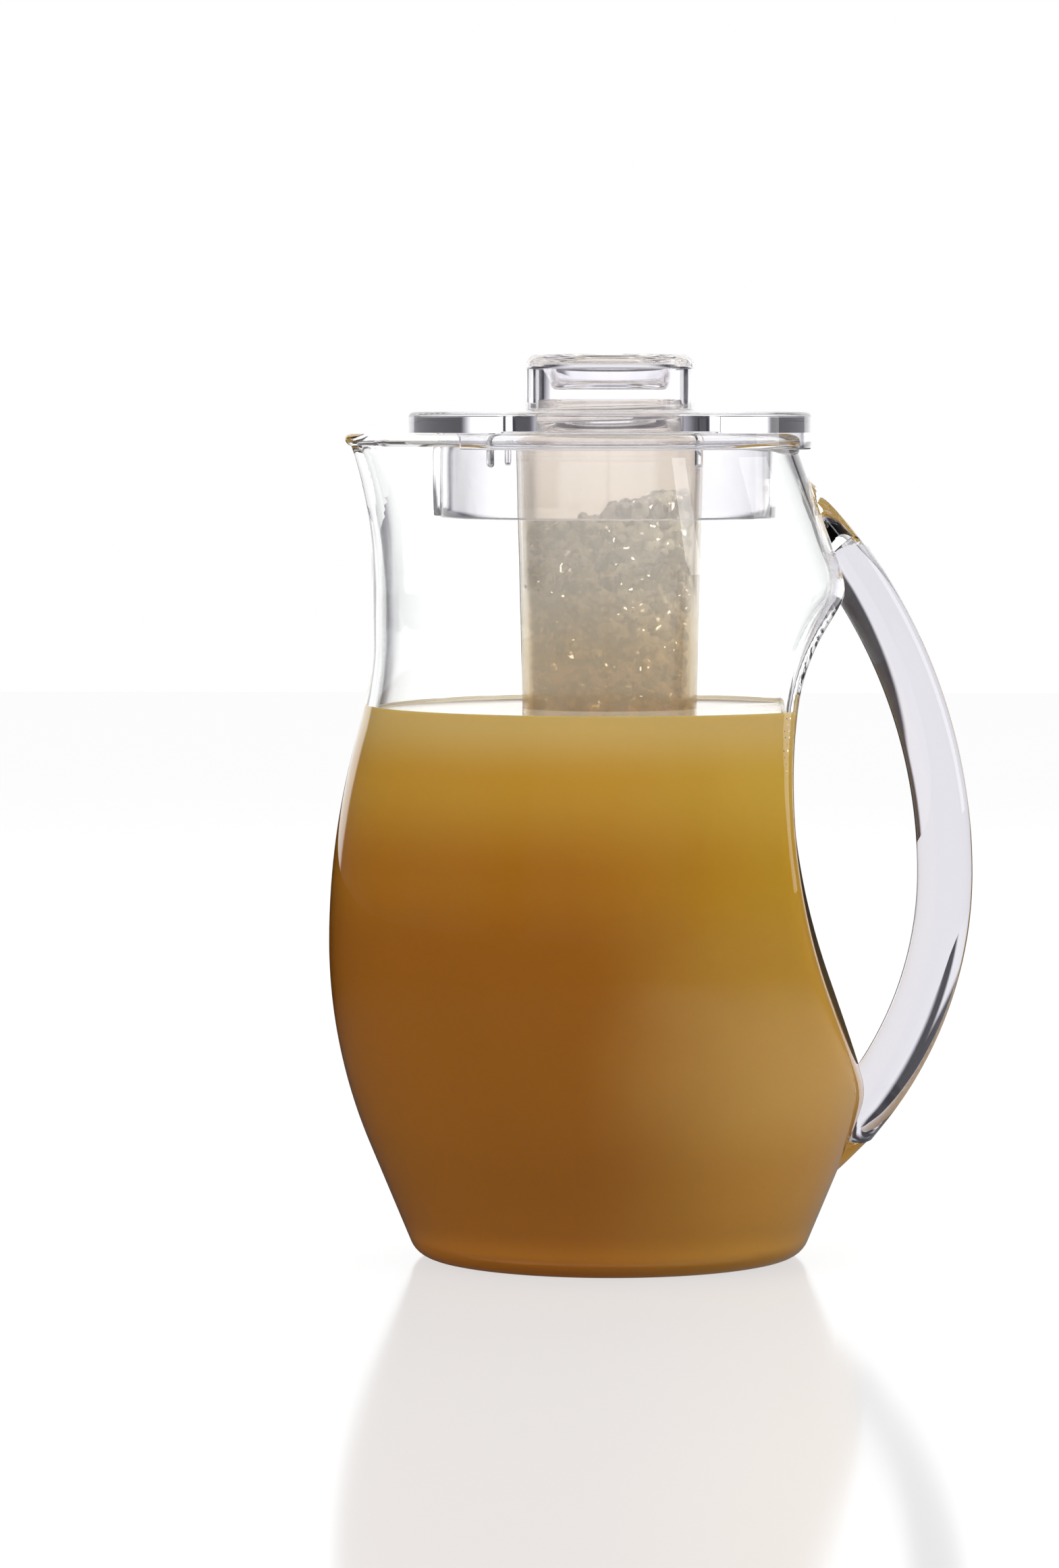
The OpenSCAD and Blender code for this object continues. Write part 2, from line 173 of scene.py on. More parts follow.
def turned(name, points, stretches):
    """Spins an outline about the upright axis, in stretches of so many degrees and steps."""
    piece = edit_all(drawn(name, points))
    for degrees, steps in stretches:
        bpy.ops.mesh.spin(steps=steps, angle=math.radians(degrees), center=(0, 0, 0),
                          axis=(0, 0, 1))
    return closed(piece)


def smooth(piece, angle):
    """Shades a piece smooth, and keeps edges sharper than the angle."""
    pick(piece)
    bpy.ops.object.shade_smooth_by_angle(angle=math.radians(angle))
    return piece


def combine(piece, others, how="UNION"):
    """Joins the other solids to the piece, or cuts them from it, and deletes them."""
    for other in others:
        pick(piece)
        bpy.ops.object.modifier_add(type="BOOLEAN")
        step = piece.modifiers[-1]
        step.operation = how
        step.solver = "EXACT"
        step.object = other
        bpy.ops.object.modifier_apply(modifier=step.name)
        bpy.data.objects.remove(other)
    return piece


# %% [markdown]
# ## The body's outline
#
# The body is a round pear. Its outline is a chain of arcs that touch without a corner: the
# foot's rounding, a long curve to the belly, a slower one up to the waist, and the
# shoulder that leans into the neck. The wall's inside is the same chain moved in by the
# wall's thickness, so inside and outside come from one function.

# %% Sizes of the body in millimetres
WALL = 2.7
FLOOR = 4.0
BELLY_R, BELLY_Z = 78.2, 88.0
BELLY_LOW_ARC, BELLY_UP_ARC = 146.0, 215.0
FOOT_LEAN, FOOT_ROUND = 22.6, 7.0
WAIST_R, WAIST_Z = 66.2, 174.0
SHOULDER_Z, SHOULDER_ROUND = 182.5, 35.0
RIM_R, RIM_Z = 51.0, 229.4
BEAD_R, BEAD_OUT, BEAD_LOW = 1.7, 1.2, 0.2
BEAD_Z = RIM_Z - BEAD_R - BEAD_LOW
RIM_EDGE, RIM_EDGE_MID = 0.9, 0.26  # rounding of the rim's inner edge, and its middle
BEAD_IN = 0.7  # where the bead ends on top of the rim

SHOULDER_CX = WAIST_R - SHOULDER_ROUND
NECK_SPAN = math.hypot(RIM_R - SHOULDER_CX, RIM_Z - SHOULDER_Z)
NECK_LEAN = (math.degrees(math.atan2(RIM_Z - SHOULDER_Z, RIM_R - SHOULDER_CX))
             - math.degrees(math.acos(SHOULDER_ROUND / NECK_SPAN)))
WAIST_LEAN = 2 * math.degrees(math.atan2(BELLY_R - WAIST_R, WAIST_Z - BELLY_Z))
WAIST_ARC = (WAIST_Z - BELLY_Z) / math.sin(math.radians(WAIST_LEAN)) - BELLY_UP_ARC
FLAT_GAP, WALL_GAP = 12, 2.6  # greatest distance between points on the foot and on the wall
LOW_Z = BELLY_Z - BELLY_LOW_ARC * math.sin(math.radians(FOOT_LEAN))
LOW_R = BELLY_R - BELLY_LOW_ARC * (1 - math.cos(math.radians(FOOT_LEAN)))


def neck_r(z, inset=0.0):
    """Radius of the round neck at a height."""
    lean = math.radians(NECK_LEAN)
    if z < SHOULDER_Z + (SHOULDER_ROUND - inset) * math.sin(lean):
        rise = max(z - SHOULDER_Z, 0)
        return SHOULDER_CX + math.sqrt((SHOULDER_ROUND - inset) ** 2 - rise ** 2)
    return RIM_R + (RIM_Z - z) * math.tan(lean) - inset / math.cos(lean)


def body_outline(inset, base_z, top_z):
    """Outline from the axis at the foot up to a height in the neck, moved in by inset."""
    lean = math.radians(FOOT_LEAN)
    line_r = LOW_R - inset * math.cos(lean)
    line_z = LOW_Z + inset * math.sin(lean)
    bend = max(FOOT_ROUND - inset, FOOT_ROUND / 2)
    foot_r = line_r - (line_z - base_z) * math.tan(lean)
    cx = foot_r - bend * math.tan(math.radians((90 - FOOT_LEAN) / 2))
    flat = evenly([(0, base_z), (cx, base_z)], FLAT_GAP)
    side = (arc(cx, base_z + bend, bend, -90, -FOOT_LEAN, 9)
            + arc(BELLY_R - BELLY_LOW_ARC, BELLY_Z, BELLY_LOW_ARC - inset, -FOOT_LEAN, 0, 1)
            + arc(BELLY_R - BELLY_UP_ARC, BELLY_Z, BELLY_UP_ARC - inset, 0, WAIST_LEAN, 1)
            + arc(WAIST_R + WAIST_ARC, WAIST_Z, WAIST_ARC + inset, 180 + WAIST_LEAN, 180, 1)
            + [(WAIST_R - inset, SHOULDER_Z)])
    rise = top_z - SHOULDER_Z
    steps = math.ceil(rise / 2)
    neck = [(neck_r(SHOULDER_Z + rise * k / steps, inset), SHOULDER_Z + rise * k / steps)
            for k in range(1, steps + 1)]
    return flat[:-1] + evenly(side + neck, WALL_GAP)


# %% [markdown]
# ## Lip and recess
#
# Two things keep the body from being a plain turned shape. The lip is pulled out of the
# neck on one side, and a scoop is taken out of the other for the hand. Both can be said as
# a radius for every direction, so the body is turned first and its points are then moved
# in or out along their own radius, as a potter would push the clay. That keeps one even
# grid of faces, with no seams for light to catch on.

# %% The lip
SPOUT_Z, SPOUT_REACH, SPOUT_TIP_R, SPOUT_FLANK_R = 188.0, 73.0, 12.0, 100.0
SPOUT_SHARE = (RIM_R - SPOUT_TIP_R) / (SPOUT_REACH - SPOUT_TIP_R)
SPOUT_RISE = RIM_Z - SPOUT_Z
SPOUT_RUN = SPOUT_REACH - WAIST_R
SPOUT_ARC = (SPOUT_RISE ** 2 + SPOUT_RUN ** 2) / (2 * SPOUT_RUN)


def lip_r(turn, z, inset):
    """Radius of the neck with its lip, at an angle from -X in radians."""
    z = min(z, RIM_Z)
    r = neck_r(z, inset) + inset
    reach = WAIST_R + SPOUT_ARC - math.sqrt((SPOUT_ARC + inset) ** 2 - max(z - SPOUT_Z, 0) ** 2)
    c = max((reach + inset - r) / (1 - SPOUT_SHARE), 0)
    tip = r - SPOUT_SHARE * c
    far = r + SPOUT_FLANK_R
    flank = math.acos(SPOUT_SHARE + c * (1 - SPOUT_SHARE ** 2) / (2 * far))
    turn = abs(turn)
    if turn >= flank:
        return r - inset
    lead = math.atan2(far * math.sin(flank), far * math.cos(flank) - c)
    touch = math.atan2(tip * math.sin(lead), c + tip * math.cos(lead))
    if turn > touch:
        side = SPOUT_FLANK_R + inset
        off = far * math.sin(flank - turn)
        return far * math.cos(flank - turn) - math.sqrt(side ** 2 - off ** 2)
    nose = tip - inset
    return c * math.cos(turn) + math.sqrt(nose ** 2 - (c * math.sin(turn)) ** 2)


# %% The hand recess
RECESS_X, RECESS_Z = 51.0, 136.0
RECESS_LOW_ARC, RECESS_LOW_LEAN = 180.0, math.radians(20)
RECESS_MID_ARC, RECESS_MID_LEAN = 140.0, math.radians(8)
RECESS_TOP_ARC, RECESS_TOP_LEAN = 50.0, math.radians(35)
RECESS_EDGE = 5.0  # how softly the recess turns into the body
RECESS_CORE = 30.0  # radius inside which the floor is left as it is


def recess_x(z, inset):
    """How far out the recess lets the body reach at a height."""
    rise = z - RECESS_Z
    low = RECESS_LOW_ARC + inset
    if rise < -low * math.sin(RECESS_LOW_LEAN):
        end = RECESS_X + RECESS_LOW_ARC - low * math.cos(RECESS_LOW_LEAN)
        return end + (-rise - low * math.sin(RECESS_LOW_LEAN)) * math.tan(RECESS_LOW_LEAN)
    if rise < 0:
        return RECESS_X + RECESS_LOW_ARC - math.sqrt(low ** 2 - rise ** 2)
    mid = RECESS_MID_ARC + inset
    if rise < mid * math.sin(RECESS_MID_LEAN):
        return RECESS_X + RECESS_MID_ARC - math.sqrt(mid ** 2 - rise ** 2)
    shift = RECESS_MID_ARC - RECESS_TOP_ARC
    cx = RECESS_X + RECESS_MID_ARC - shift * math.cos(RECESS_MID_LEAN)
    lift = rise - shift * math.sin(RECESS_MID_LEAN)
    top = RECESS_TOP_ARC + inset
    if lift < top * math.sin(RECESS_TOP_LEAN):
        return cx - math.sqrt(top ** 2 - lift ** 2)
    end = cx - top * math.cos(RECESS_TOP_LEAN)
    return end + (lift - top * math.sin(RECESS_TOP_LEAN)) * math.tan(RECESS_TOP_LEAN)


def lesser(a, b, edge):
    """The lesser of two lengths, rounded off where they are nearly equal."""
    h = max(edge - abs(a - b), 0) / edge
    return min(a, b) - h * h * h * edge / 6


# %% Pushing a turned wall into shape
def shape_wall(piece, outline, insets):
    """Moves the points of a turned wall out into the lip and in to the recess."""
    tree = kdtree.KDTree(len(outline))
    for index, (r, z) in enumerate(outline):
        tree.insert((r * MM, 0, z * MM), index)
    tree.balance()
    for point in piece.data.vertices:
        r = math.hypot(point.co.x, point.co.y)
        if r < 1e-6:
            continue
        inset = insets[tree.find((r, 0, point.co.z))[1]]
        r /= MM
        z = point.co.z / MM
        new = r
        away = math.atan2(point.co.y, -point.co.x)
        if z > SHOULDER_Z:
            new = lip_r(away, z, inset)
        ahead = -math.cos(away)
        if ahead > 0.05 and r > RECESS_CORE:
            new = lesser(new, recess_x(z, inset) / ahead, RECESS_EDGE)
        point.co.x *= new / r
        point.co.y *= new / r
    return piece


# %% [markdown]
# The rim is a round bead on the outside with softly broken edges on top. Each point of the
# outline carries its own depth in the wall, counted inwards from the outer surface, so
# the bead simply has depths below zero.

# %% Turn the body
BODY_STEPS = 256
bead_turn = math.degrees(math.acos(1 - BEAD_OUT / BEAD_R))
bead_foot_z = BEAD_Z - BEAD_R * math.sin(math.radians(bead_turn))
outer = [(r, z, 0.0) for r, z in body_outline(0, 0, bead_foot_z)]
inner = [(r, z, WALL) for r, z in body_outline(WALL, FLOOR, RIM_Z - RIM_EDGE)]
bead = []
for degrees in (-45, -20, 0, 20, 45, 65, 82):
    t = math.radians(degrees)
    bead.append((BEAD_Z + BEAD_R * math.sin(t), BEAD_R - BEAD_OUT - BEAD_R * math.cos(t)))
bead += [(RIM_Z, BEAD_IN), (RIM_Z, WALL - RIM_EDGE), (RIM_Z - RIM_EDGE_MID, WALL - RIM_EDGE_MID)]
rim = [(neck_r(z, inset), z, inset) for z, inset in bead]
whole = outer + rim + inner[::-1]
shell = turned("pitcher_body", [(r, z) for r, z, _ in whole], [(360, BODY_STEPS)])
shape_wall(shell, [(r, z) for r, z, _ in whole], [inset for _, _, inset in whole])
smooth(shell, 60)
print("body:", len(shell.data.polygons), "faces")

# %% [markdown]
# ## Handle
#
# The handle is a solid clear bar, bent along two arcs that share a tangent at its widest
# point. One section is drawn there, a flattened oval, and spun up about the first centre
# and down about the second. Each end bulges into a hollow of its boss, which is where the
# real ones are bonded, so the last ring is pushed out along a cylinder and then filled with
# a grid, which keeps the bulge smooth where a single face would dent.

# %% Sizes of the handle in millimetres
HANDLE_X, HANDLE_Z = 93.4, 107.0
HANDLE_UP_ARC, HANDLE_LOW_ARC = 149.0, 104.5
HANDLE_T, HANDLE_W = 15.3, 21.0
JOINT_UP, JOINT_LOW = 33.7, 38.7
END_R = 0.6 * HANDLE_T
BOND_GAP = 0.05
BOSS_STEP = 0.6
BOSS_LEAD, BOSS_RUN = 0.8, 16  # where a boss's first straight ring and its end lie, in degrees
SECTION_POINTS = 48


def frame_at(arc_r, degrees, way):
    """Middle of the section, the sweep's direction and the way across, up (1) or down (-1)."""
    t = math.radians(degrees)
    middle = Vector((HANDLE_X - arc_r + arc_r * math.cos(t), 0,
                     HANDLE_Z + way * arc_r * math.sin(t)))
    along = Vector((-math.sin(t), 0, way * math.cos(t)))
    across = Vector((math.cos(t), 0, way * math.sin(t)))
    return middle, along, across


def section(name, thickness, width, arc_r, degrees, way):
    """A flattened oval at an angle of a sweep: a circle whose halves are moved apart."""
    deselect()
    bpy.ops.mesh.primitive_circle_add(vertices=SECTION_POINTS, radius=thickness / 2 * MM)
    piece = bpy.context.object
    piece.name = piece.data.name = name
    middle, _, across = frame_at(arc_r, degrees, way)
    for point in piece.data.vertices:
        u, v = point.co.x / MM, point.co.y / MM
        side = math.copysign(1, v) if abs(v) > 1e-4 else 0
        spot = middle + across * u + Vector((0, v + side * (width - thickness) / 2, 0))
        point.co = spot * MM
    return piece


def swept(arc_r, degrees, way, steps):
    """Spins what is selected about the centre of one of the handle's two arcs."""
    centre = ((HANDLE_X - arc_r) * MM, 0, HANDLE_Z * MM)
    bpy.ops.mesh.spin(steps=steps, angle=math.radians(degrees), center=centre, axis=(0, way, 0))


def select_ring(piece, arc_r, degrees, way):
    """Selects the ring of points that lies across a sweep at an angle."""
    bpy.ops.object.mode_set(mode="EDIT")
    bpy.ops.mesh.select_all(action="DESELECT")
    bpy.ops.object.mode_set(mode="OBJECT")
    middle, along, _ = frame_at(arc_r, degrees, way)
    ring = [point for point in piece.data.vertices
            if abs((point.co / MM - middle).dot(along)) < 0.01
            and (point.co / MM - middle).length < HANDLE_W]
    for point in ring:
        point.select = True
    return ring


def grid_filled(piece):
    """Fills the selected ring with a grid of faces."""
    pick(piece)
    bpy.ops.object.mode_set(mode="EDIT")
    bpy.ops.mesh.fill_grid(span=SECTION_POINTS // 4)
    bpy.ops.object.mode_set(mode="OBJECT")


# %% Sweep the handle
grip = edit_all(section("grip_handle", HANDLE_T, HANDLE_W, HANDLE_UP_ARC, 0, 1))
swept(HANDLE_UP_ARC, JOINT_UP, 1, steps=40)
bpy.ops.object.mode_set(mode="OBJECT")
select_ring(grip, HANDLE_LOW_ARC, 0, -1)
bpy.ops.object.mode_set(mode="EDIT")
swept(HANDLE_LOW_ARC, JOINT_LOW, -1, steps=34)
bpy.ops.object.mode_set(mode="OBJECT")
for arc_r, degrees, way in ((HANDLE_UP_ARC, JOINT_UP, 1), (HANDLE_LOW_ARC, JOINT_LOW, -1)):
    middle, along, across = frame_at(arc_r, degrees, way)
    for point in select_ring(grip, arc_r, degrees, way):
        u = (point.co / MM - middle).dot(across)
        point.co += along * math.sqrt(END_R ** 2 - u ** 2) * MM
    grid_filled(grip)
closed(grip)
smooth(grip, 50)
print("handle:", len(grip.data.polygons), "faces")

# %% [markdown]
# ## Bosses
#
# Where the handle ends, the body has a short stub of the same section, a little smaller.
# Its near end is hollow and takes the handle's bulge, and its far end dies inside the
# wall. In clear plastic two solids that overlap show where they cross, so the stubs are
# joined to the body with an exact Boolean, and the light finds one solid. The handle stays
# a piece of its own, so it is cut back to the body's outside, with the bond's gap.

# %% A boss
def boss(name, arc_r, degrees, way):
    """A stub that starts on the bond's cylinder and runs on along the handle's sweep."""
    lead = math.degrees((END_R + BOND_GAP) / arc_r) + BOSS_LEAD
    piece = section(name, HANDLE_T - 2 * BOSS_STEP, HANDLE_W - 2 * BOSS_STEP,
                    arc_r, degrees + lead, way)
    edit_all(piece)
    swept(arc_r, BOSS_RUN - lead, way, steps=8)
    bpy.ops.object.mode_set(mode="OBJECT")
    select_ring(piece, arc_r, degrees + lead, way)
    bpy.ops.object.mode_set(mode="EDIT")
    bpy.ops.mesh.extrude_region_move(TRANSFORM_OT_translate={"value": (0, 0, 0)})
    bpy.ops.object.mode_set(mode="OBJECT")
    middle, along, across = frame_at(arc_r, degrees + lead, way)
    start, start_along, start_across = frame_at(arc_r, degrees, way)
    for point in piece.data.vertices:
        if point.select:
            off = point.co / MM - middle
            u = off.dot(across)
            bulge = math.sqrt((END_R + BOND_GAP) ** 2 - u ** 2)
            spot = start + start_across * u + start_along * bulge + Vector((0, off.y, 0))
            point.co = spot * MM
    grid_filled(piece)
    select_ring(piece, arc_r, degrees + BOSS_RUN, way)
    grid_filled(piece)
    return closed(piece)


# %% Bosses on the body
STOP_STEPS = 128


def filled_body(name, inset, base_z):
    """The body as one full solid, moved in by inset, to cut other pieces with."""
    outline = body_outline(inset, base_z, RIM_Z) + [(0, RIM_Z)]
    piece = turned(name, outline, [(360, STOP_STEPS)])
    return shape_wall(piece, outline, [inset] * len(outline))


bosses = []
for name, arc_r, degrees, way in (("upper_boss", HANDLE_UP_ARC, JOINT_UP, 1),
                                  ("lower_boss", HANDLE_LOW_ARC, JOINT_LOW, -1)):
    stub = boss(name, arc_r, degrees, way)
    combine(stub, [filled_body("boss_stop", WALL / 2, FLOOR / 2)], "DIFFERENCE")
    bosses.append(stub)
combine(shell, bosses)
combine(grip, [filled_body("handle_stop", -BOND_GAP, 0)], "DIFFERENCE")
for piece, sharpest in ((shell, 60), (grip, 50)):
    closed(piece)
    smooth(piece, sharpest)
print("body with bosses:", len(shell.data.polygons), "faces")

# %% [markdown]
# ## Lid
#
# The lid is one moulding: a plate, a hollow knob with a thumb dish, a skirt that centres it
# in the neck, and an outer ring that is left off over the lip so that the drink can pass.
# The whole section is turned at once. It is turned in four stretches of its own fineness,
# so that the ring's ends get enough points for their small hollow fillets.

# %% Sizes of the lid in millimetres
LID_OVER, LID_T, LID_ROUND, SEAT_GAP = 5.0, 5.8, 1.5, 0.3
RING_DROP, RING_WALL = 4.6, 1.3
SKIRT_GAP, SKIRT_WALL, SKIRT_DROP = 1.9, 1.9, 24.0
PEG_SHARE, PEG_DROP = 0.72, 9.8
FIN_OUT, FIN_T, FIN_SHORT, FIN_EDGE = 1.8, 2.0, 0.4, 0.4
KNOB_R, KNOB_H, KNOB_WALL, KNOB_ROUND = 23.5, 15.9, 2.8, 3.2
DISH_EDGE, DISH_SLANT, DISH_DEEP, DISH_WALL = 5.3, 3.7, 7.6, 2.3
RING_GAP = 44.5  # half of the opening in the outer ring, in degrees
RING_FILLET = 2.4

LID_R = RIM_R + LID_OVER
SKIRT_R = RIM_R - WALL / math.cos(math.radians(NECK_LEAN)) - SKIRT_GAP
PLATE_Z = RIM_Z + SEAT_GAP
PLATE_TOP = PLATE_Z + LID_T
KNOB_TOP = PLATE_TOP + KNOB_H
BORE_R = KNOB_R - KNOB_WALL
DISH_R = KNOB_R - DISH_EDGE
DISH_FLOOR_R = DISH_R - DISH_SLANT
DISH_Z = KNOB_TOP - DISH_DEEP
DISH_SLOPE = DISH_SLANT / DISH_DEEP


def dish_back_r(z):
    """Outside of the dish's wall, seen from inside the knob."""
    return DISH_FLOOR_R + DISH_WALL + (z - DISH_Z) * DISH_SLOPE


def eased(corners):
    """An outline through corners given as radius, height and rounding."""
    result = []
    for (x0, z0, _), (x1, z1, r), (x2, z2, _) in zip(corners, corners[1:], corners[2:]):
        corner = Vector((x1, z1))
        back = (Vector((x0, z0)) - corner).normalized()
        on = (Vector((x2, z2)) - corner).normalized()
        half = back.angle(on) / 2
        if r == 0 or half > math.pi / 2 - 0.01:
            result.append((x1, z1))
            continue
        run = r / math.tan(half)
        centre = corner + (back + on).normalized() * r / math.sin(half)
        start = corner + back * run - centre
        end = corner + on * run - centre
        turn = start.angle_signed(end)
        steps = max(2, math.ceil(abs(math.degrees(turn)) / 15))
        first = math.atan2(start.y, start.x)
        result += [(centre.x + r * math.cos(first - turn * k / steps),
                    centre.y + r * math.sin(first - turn * k / steps))
                   for k in range(steps + 1)]
    return [corners[0][:2]] + result + [corners[-1][:2]]


# %% Turn the lid
lid_outline = eased([
    (0, DISH_Z - DISH_WALL, 0),
    (dish_back_r(DISH_Z - DISH_WALL), DISH_Z - DISH_WALL, 1.5),
    (dish_back_r(KNOB_TOP - KNOB_WALL), KNOB_TOP - KNOB_WALL, 0.5),
    (BORE_R, KNOB_TOP - KNOB_WALL - DISH_WALL / 2, 0.5),
    (BORE_R, PLATE_Z, 0.4),
    (SKIRT_R - SKIRT_WALL, PLATE_Z, 0.6),
    (SKIRT_R - SKIRT_WALL, PLATE_Z - SKIRT_DROP, 0.6),
    (SKIRT_R, PLATE_Z - SKIRT_DROP, 0.6),
    (SKIRT_R, PLATE_Z, 0.6),
    (LID_R - RING_WALL, PLATE_Z, 0),
    (LID_R - RING_WALL, PLATE_Z - RING_DROP, 0.4),
    (LID_R, PLATE_Z - RING_DROP, 0.5),
    (LID_R, PLATE_TOP, LID_ROUND),
    (KNOB_R, PLATE_TOP, 0.8),
    (KNOB_R, KNOB_TOP, KNOB_ROUND),
    (DISH_R, KNOB_TOP, 0.8),
    (DISH_FLOOR_R, DISH_Z, 1.2),
    (0, DISH_Z, 0),
])
fillet_a = math.degrees(RING_FILLET / LID_R)
lid = turned("clear_lid", [(-r, z) for r, z in evenly(lid_outline, gap=4)], [
    (RING_GAP - fillet_a, 24), (fillet_a, 8), (360 - 2 * RING_GAP, 144), (fillet_a, 8),
    (RING_GAP - fillet_a, 24)])
for point in lid.data.vertices:
    r = math.hypot(point.co.x, point.co.y) / MM
    if r > LID_R - RING_WALL - 0.1 and point.co.z / MM < PLATE_Z:
        away = math.degrees(math.atan2(abs(point.co.y), -point.co.x))
        inside = math.radians(RING_GAP - away) * LID_R
        if inside > 0.01:
            rest = RING_FILLET - min(inside, RING_FILLET)
            drop = RING_FILLET - math.sqrt(RING_FILLET ** 2 - rest ** 2)
            point.co.z = max(point.co.z, (PLATE_Z - drop) * MM)
closed(lid)
print("lid turned:", len(lid.data.polygons), "faces")


# %% [markdown]
# Four thin pegs beside the skirt keep the lid from rattling in the neck, and a small fin
# on the skirt points to the lip. A peg is modelled once, on the axis, and copied to its
# places. They sink into the plate a little, so that the Boolean has something to join.

# %% Pegs and fin
def shifted(piece, place):
    """Moves the points of a piece by a place in millimetres, so its object stays at the origin."""
    edit_all(piece)
    bpy.ops.transform.translate(value=[v * MM for v in place])
    bpy.ops.object.mode_set(mode="OBJECT")
    return piece


def twin(piece, name):
    """A copy of a piece with its own mesh."""
    pick(piece)
    bpy.ops.object.duplicate()
    copy = bpy.context.object
    copy.name = copy.data.name = name
    return copy


PEG_R = PEG_SHARE * SKIRT_GAP * 4 / 5
PEG_AT_R = SKIRT_R + PEG_R / 4  # so that a peg is partly sunk in the skirt
PEG_TURNS = (-122, -48, 48, 122)  # from the lip, in degrees
peg = turned("peg", arc(0, PLATE_Z - PEG_DROP + PEG_R, PEG_R, -90, 0, 15) + [
    (PEG_R, PLATE_Z + LID_T / 2), (0, PLATE_Z + LID_T / 2)], [(360, 24)])
pegs = []
for number, degrees in enumerate(PEG_TURNS):
    turn = math.radians(180 + degrees)
    pegs.append(shifted(twin(peg, f"peg_{number}"),
                        (PEG_AT_R * math.cos(turn), PEG_AT_R * math.sin(turn), 0)))
bpy.data.objects.remove(peg)

deselect()
bpy.ops.mesh.primitive_cube_add(size=MM)
fin = bpy.context.object
fin.name = fin.data.name = "fin"
fin_deep = FIN_OUT + SKIRT_WALL / 2
fin_tall = SKIRT_DROP - FIN_SHORT + LID_T / 2
edit_all(fin)
bpy.ops.transform.resize(value=(fin_deep, FIN_T, fin_tall))
bpy.ops.mesh.bevel(offset=FIN_EDGE * MM, segments=3, affect="EDGES")
bpy.ops.object.mode_set(mode="OBJECT")
shifted(fin, (-SKIRT_R - FIN_OUT + fin_deep / 2, 0,
              PLATE_Z - SKIRT_DROP + FIN_SHORT + fin_tall / 2))
combine(lid, pegs + [fin])
closed(lid)
smooth(lid, 35)
print("lid:", len(lid.data.polygons), "faces")

# %% [markdown]
# ## Ice core
#
# The core is a frosted cup that is open at the top, where its neck screws up into the
# knob. Its wall tapers a little towards the round foot. The thread is one ridge that
# winds round the neck: a Screw modifier climbs by its offset for each turn.

# %% Ice core
CORE_OUT, CORE_TAPER, CORE_FOOT_Z = 2.6, 4.3, 45.0
CORE_WALL, CORE_ROUND, CORE_FOOT_ROUND, CORE_EDGE = 2.0, 2.4, 5.0, 0.4
NECK_H, THREAD_GAP, CORE_SEAT_GAP = 9.3, 0.7, 0.3
CORE_R = KNOB_R + CORE_OUT
CORE_FOOT_R = CORE_R - CORE_TAPER
CORE_TOP = PLATE_Z - CORE_SEAT_GAP
CORE_NECK_R = BORE_R - THREAD_GAP
CORE_NECK_TOP = CORE_TOP + NECK_H
CORE_LEAN = math.degrees(math.atan2(
    CORE_TAPER, CORE_TOP - CORE_ROUND - CORE_FOOT_Z - CORE_FOOT_ROUND))


def core_outline(inset):
    """The core's section from the axis at its foot to its shoulder, moved in by inset."""
    return ([(0, CORE_FOOT_Z + inset)]
            + arc(CORE_FOOT_R - CORE_FOOT_ROUND, CORE_FOOT_Z + CORE_FOOT_ROUND,
                  CORE_FOOT_ROUND - inset, -90, -CORE_LEAN, 8)
            + arc(CORE_R - CORE_ROUND, CORE_TOP - CORE_ROUND, CORE_ROUND - inset,
                  -CORE_LEAN, 90, 12))


neck_in = CORE_NECK_R - CORE_WALL
core = turned("frosted_core", evenly(core_outline(0) + [
    (CORE_NECK_R, CORE_TOP), (CORE_NECK_R, CORE_NECK_TOP - CORE_EDGE),
    (CORE_NECK_R - CORE_EDGE, CORE_NECK_TOP), (neck_in + CORE_EDGE, CORE_NECK_TOP),
    (neck_in, CORE_NECK_TOP - CORE_EDGE), (neck_in, CORE_TOP - CORE_WALL)
] + core_outline(CORE_WALL)[::-1], gap=6), [(360, 144)])
print("core turned:", len(core.data.polygons), "faces")

# %% The neck's thread
THREAD_PITCH, THREAD_TURNS = 3.3, 2
THREAD_IN, THREAD_OUT = 0.3, 0.5  # how far the ridge is sunk in the neck, and stands out of it
THREAD_H, THREAD_CREST = 1.8, (0.7, 1.1)
THREAD_BELOW = 0.6  # down from the neck's top
thread = drawn("neck_thread", [(CORE_NECK_R - THREAD_IN, 0)]
               + [(CORE_NECK_R + THREAD_OUT, z) for z in THREAD_CREST]
               + [(CORE_NECK_R - THREAD_IN, THREAD_H)])
edit_all(thread)
bpy.ops.mesh.edge_face_add()
bpy.ops.object.mode_set(mode="OBJECT")
pick(thread)
bpy.ops.object.modifier_add(type="SCREW")
screw = thread.modifiers[-1]
screw.axis = "Z"
screw.angle = 2 * math.pi
screw.screw_offset = THREAD_PITCH * MM
screw.iterations = THREAD_TURNS
screw.steps = screw.render_steps = 96
screw.use_merge_vertices = False
bpy.ops.object.modifier_apply(modifier=screw.name)
closed(thread)
shifted(thread, (0, 0, CORE_NECK_TOP - THREAD_BELOW - THREAD_H - THREAD_TURNS * THREAD_PITCH))
combine(core, [thread])
closed(core)
smooth(core, 40)
print("core:", len(core.data.polygons), "faces")

# %% [markdown]
# ## Drink
#
# The drink fills the body's own inside, so it is made by the same outline and pushed into
# the same lip and recess. It reaches a hair into the wall, because plastic that is wet
# shows the drink right at its inner face, with no mirror of air between.

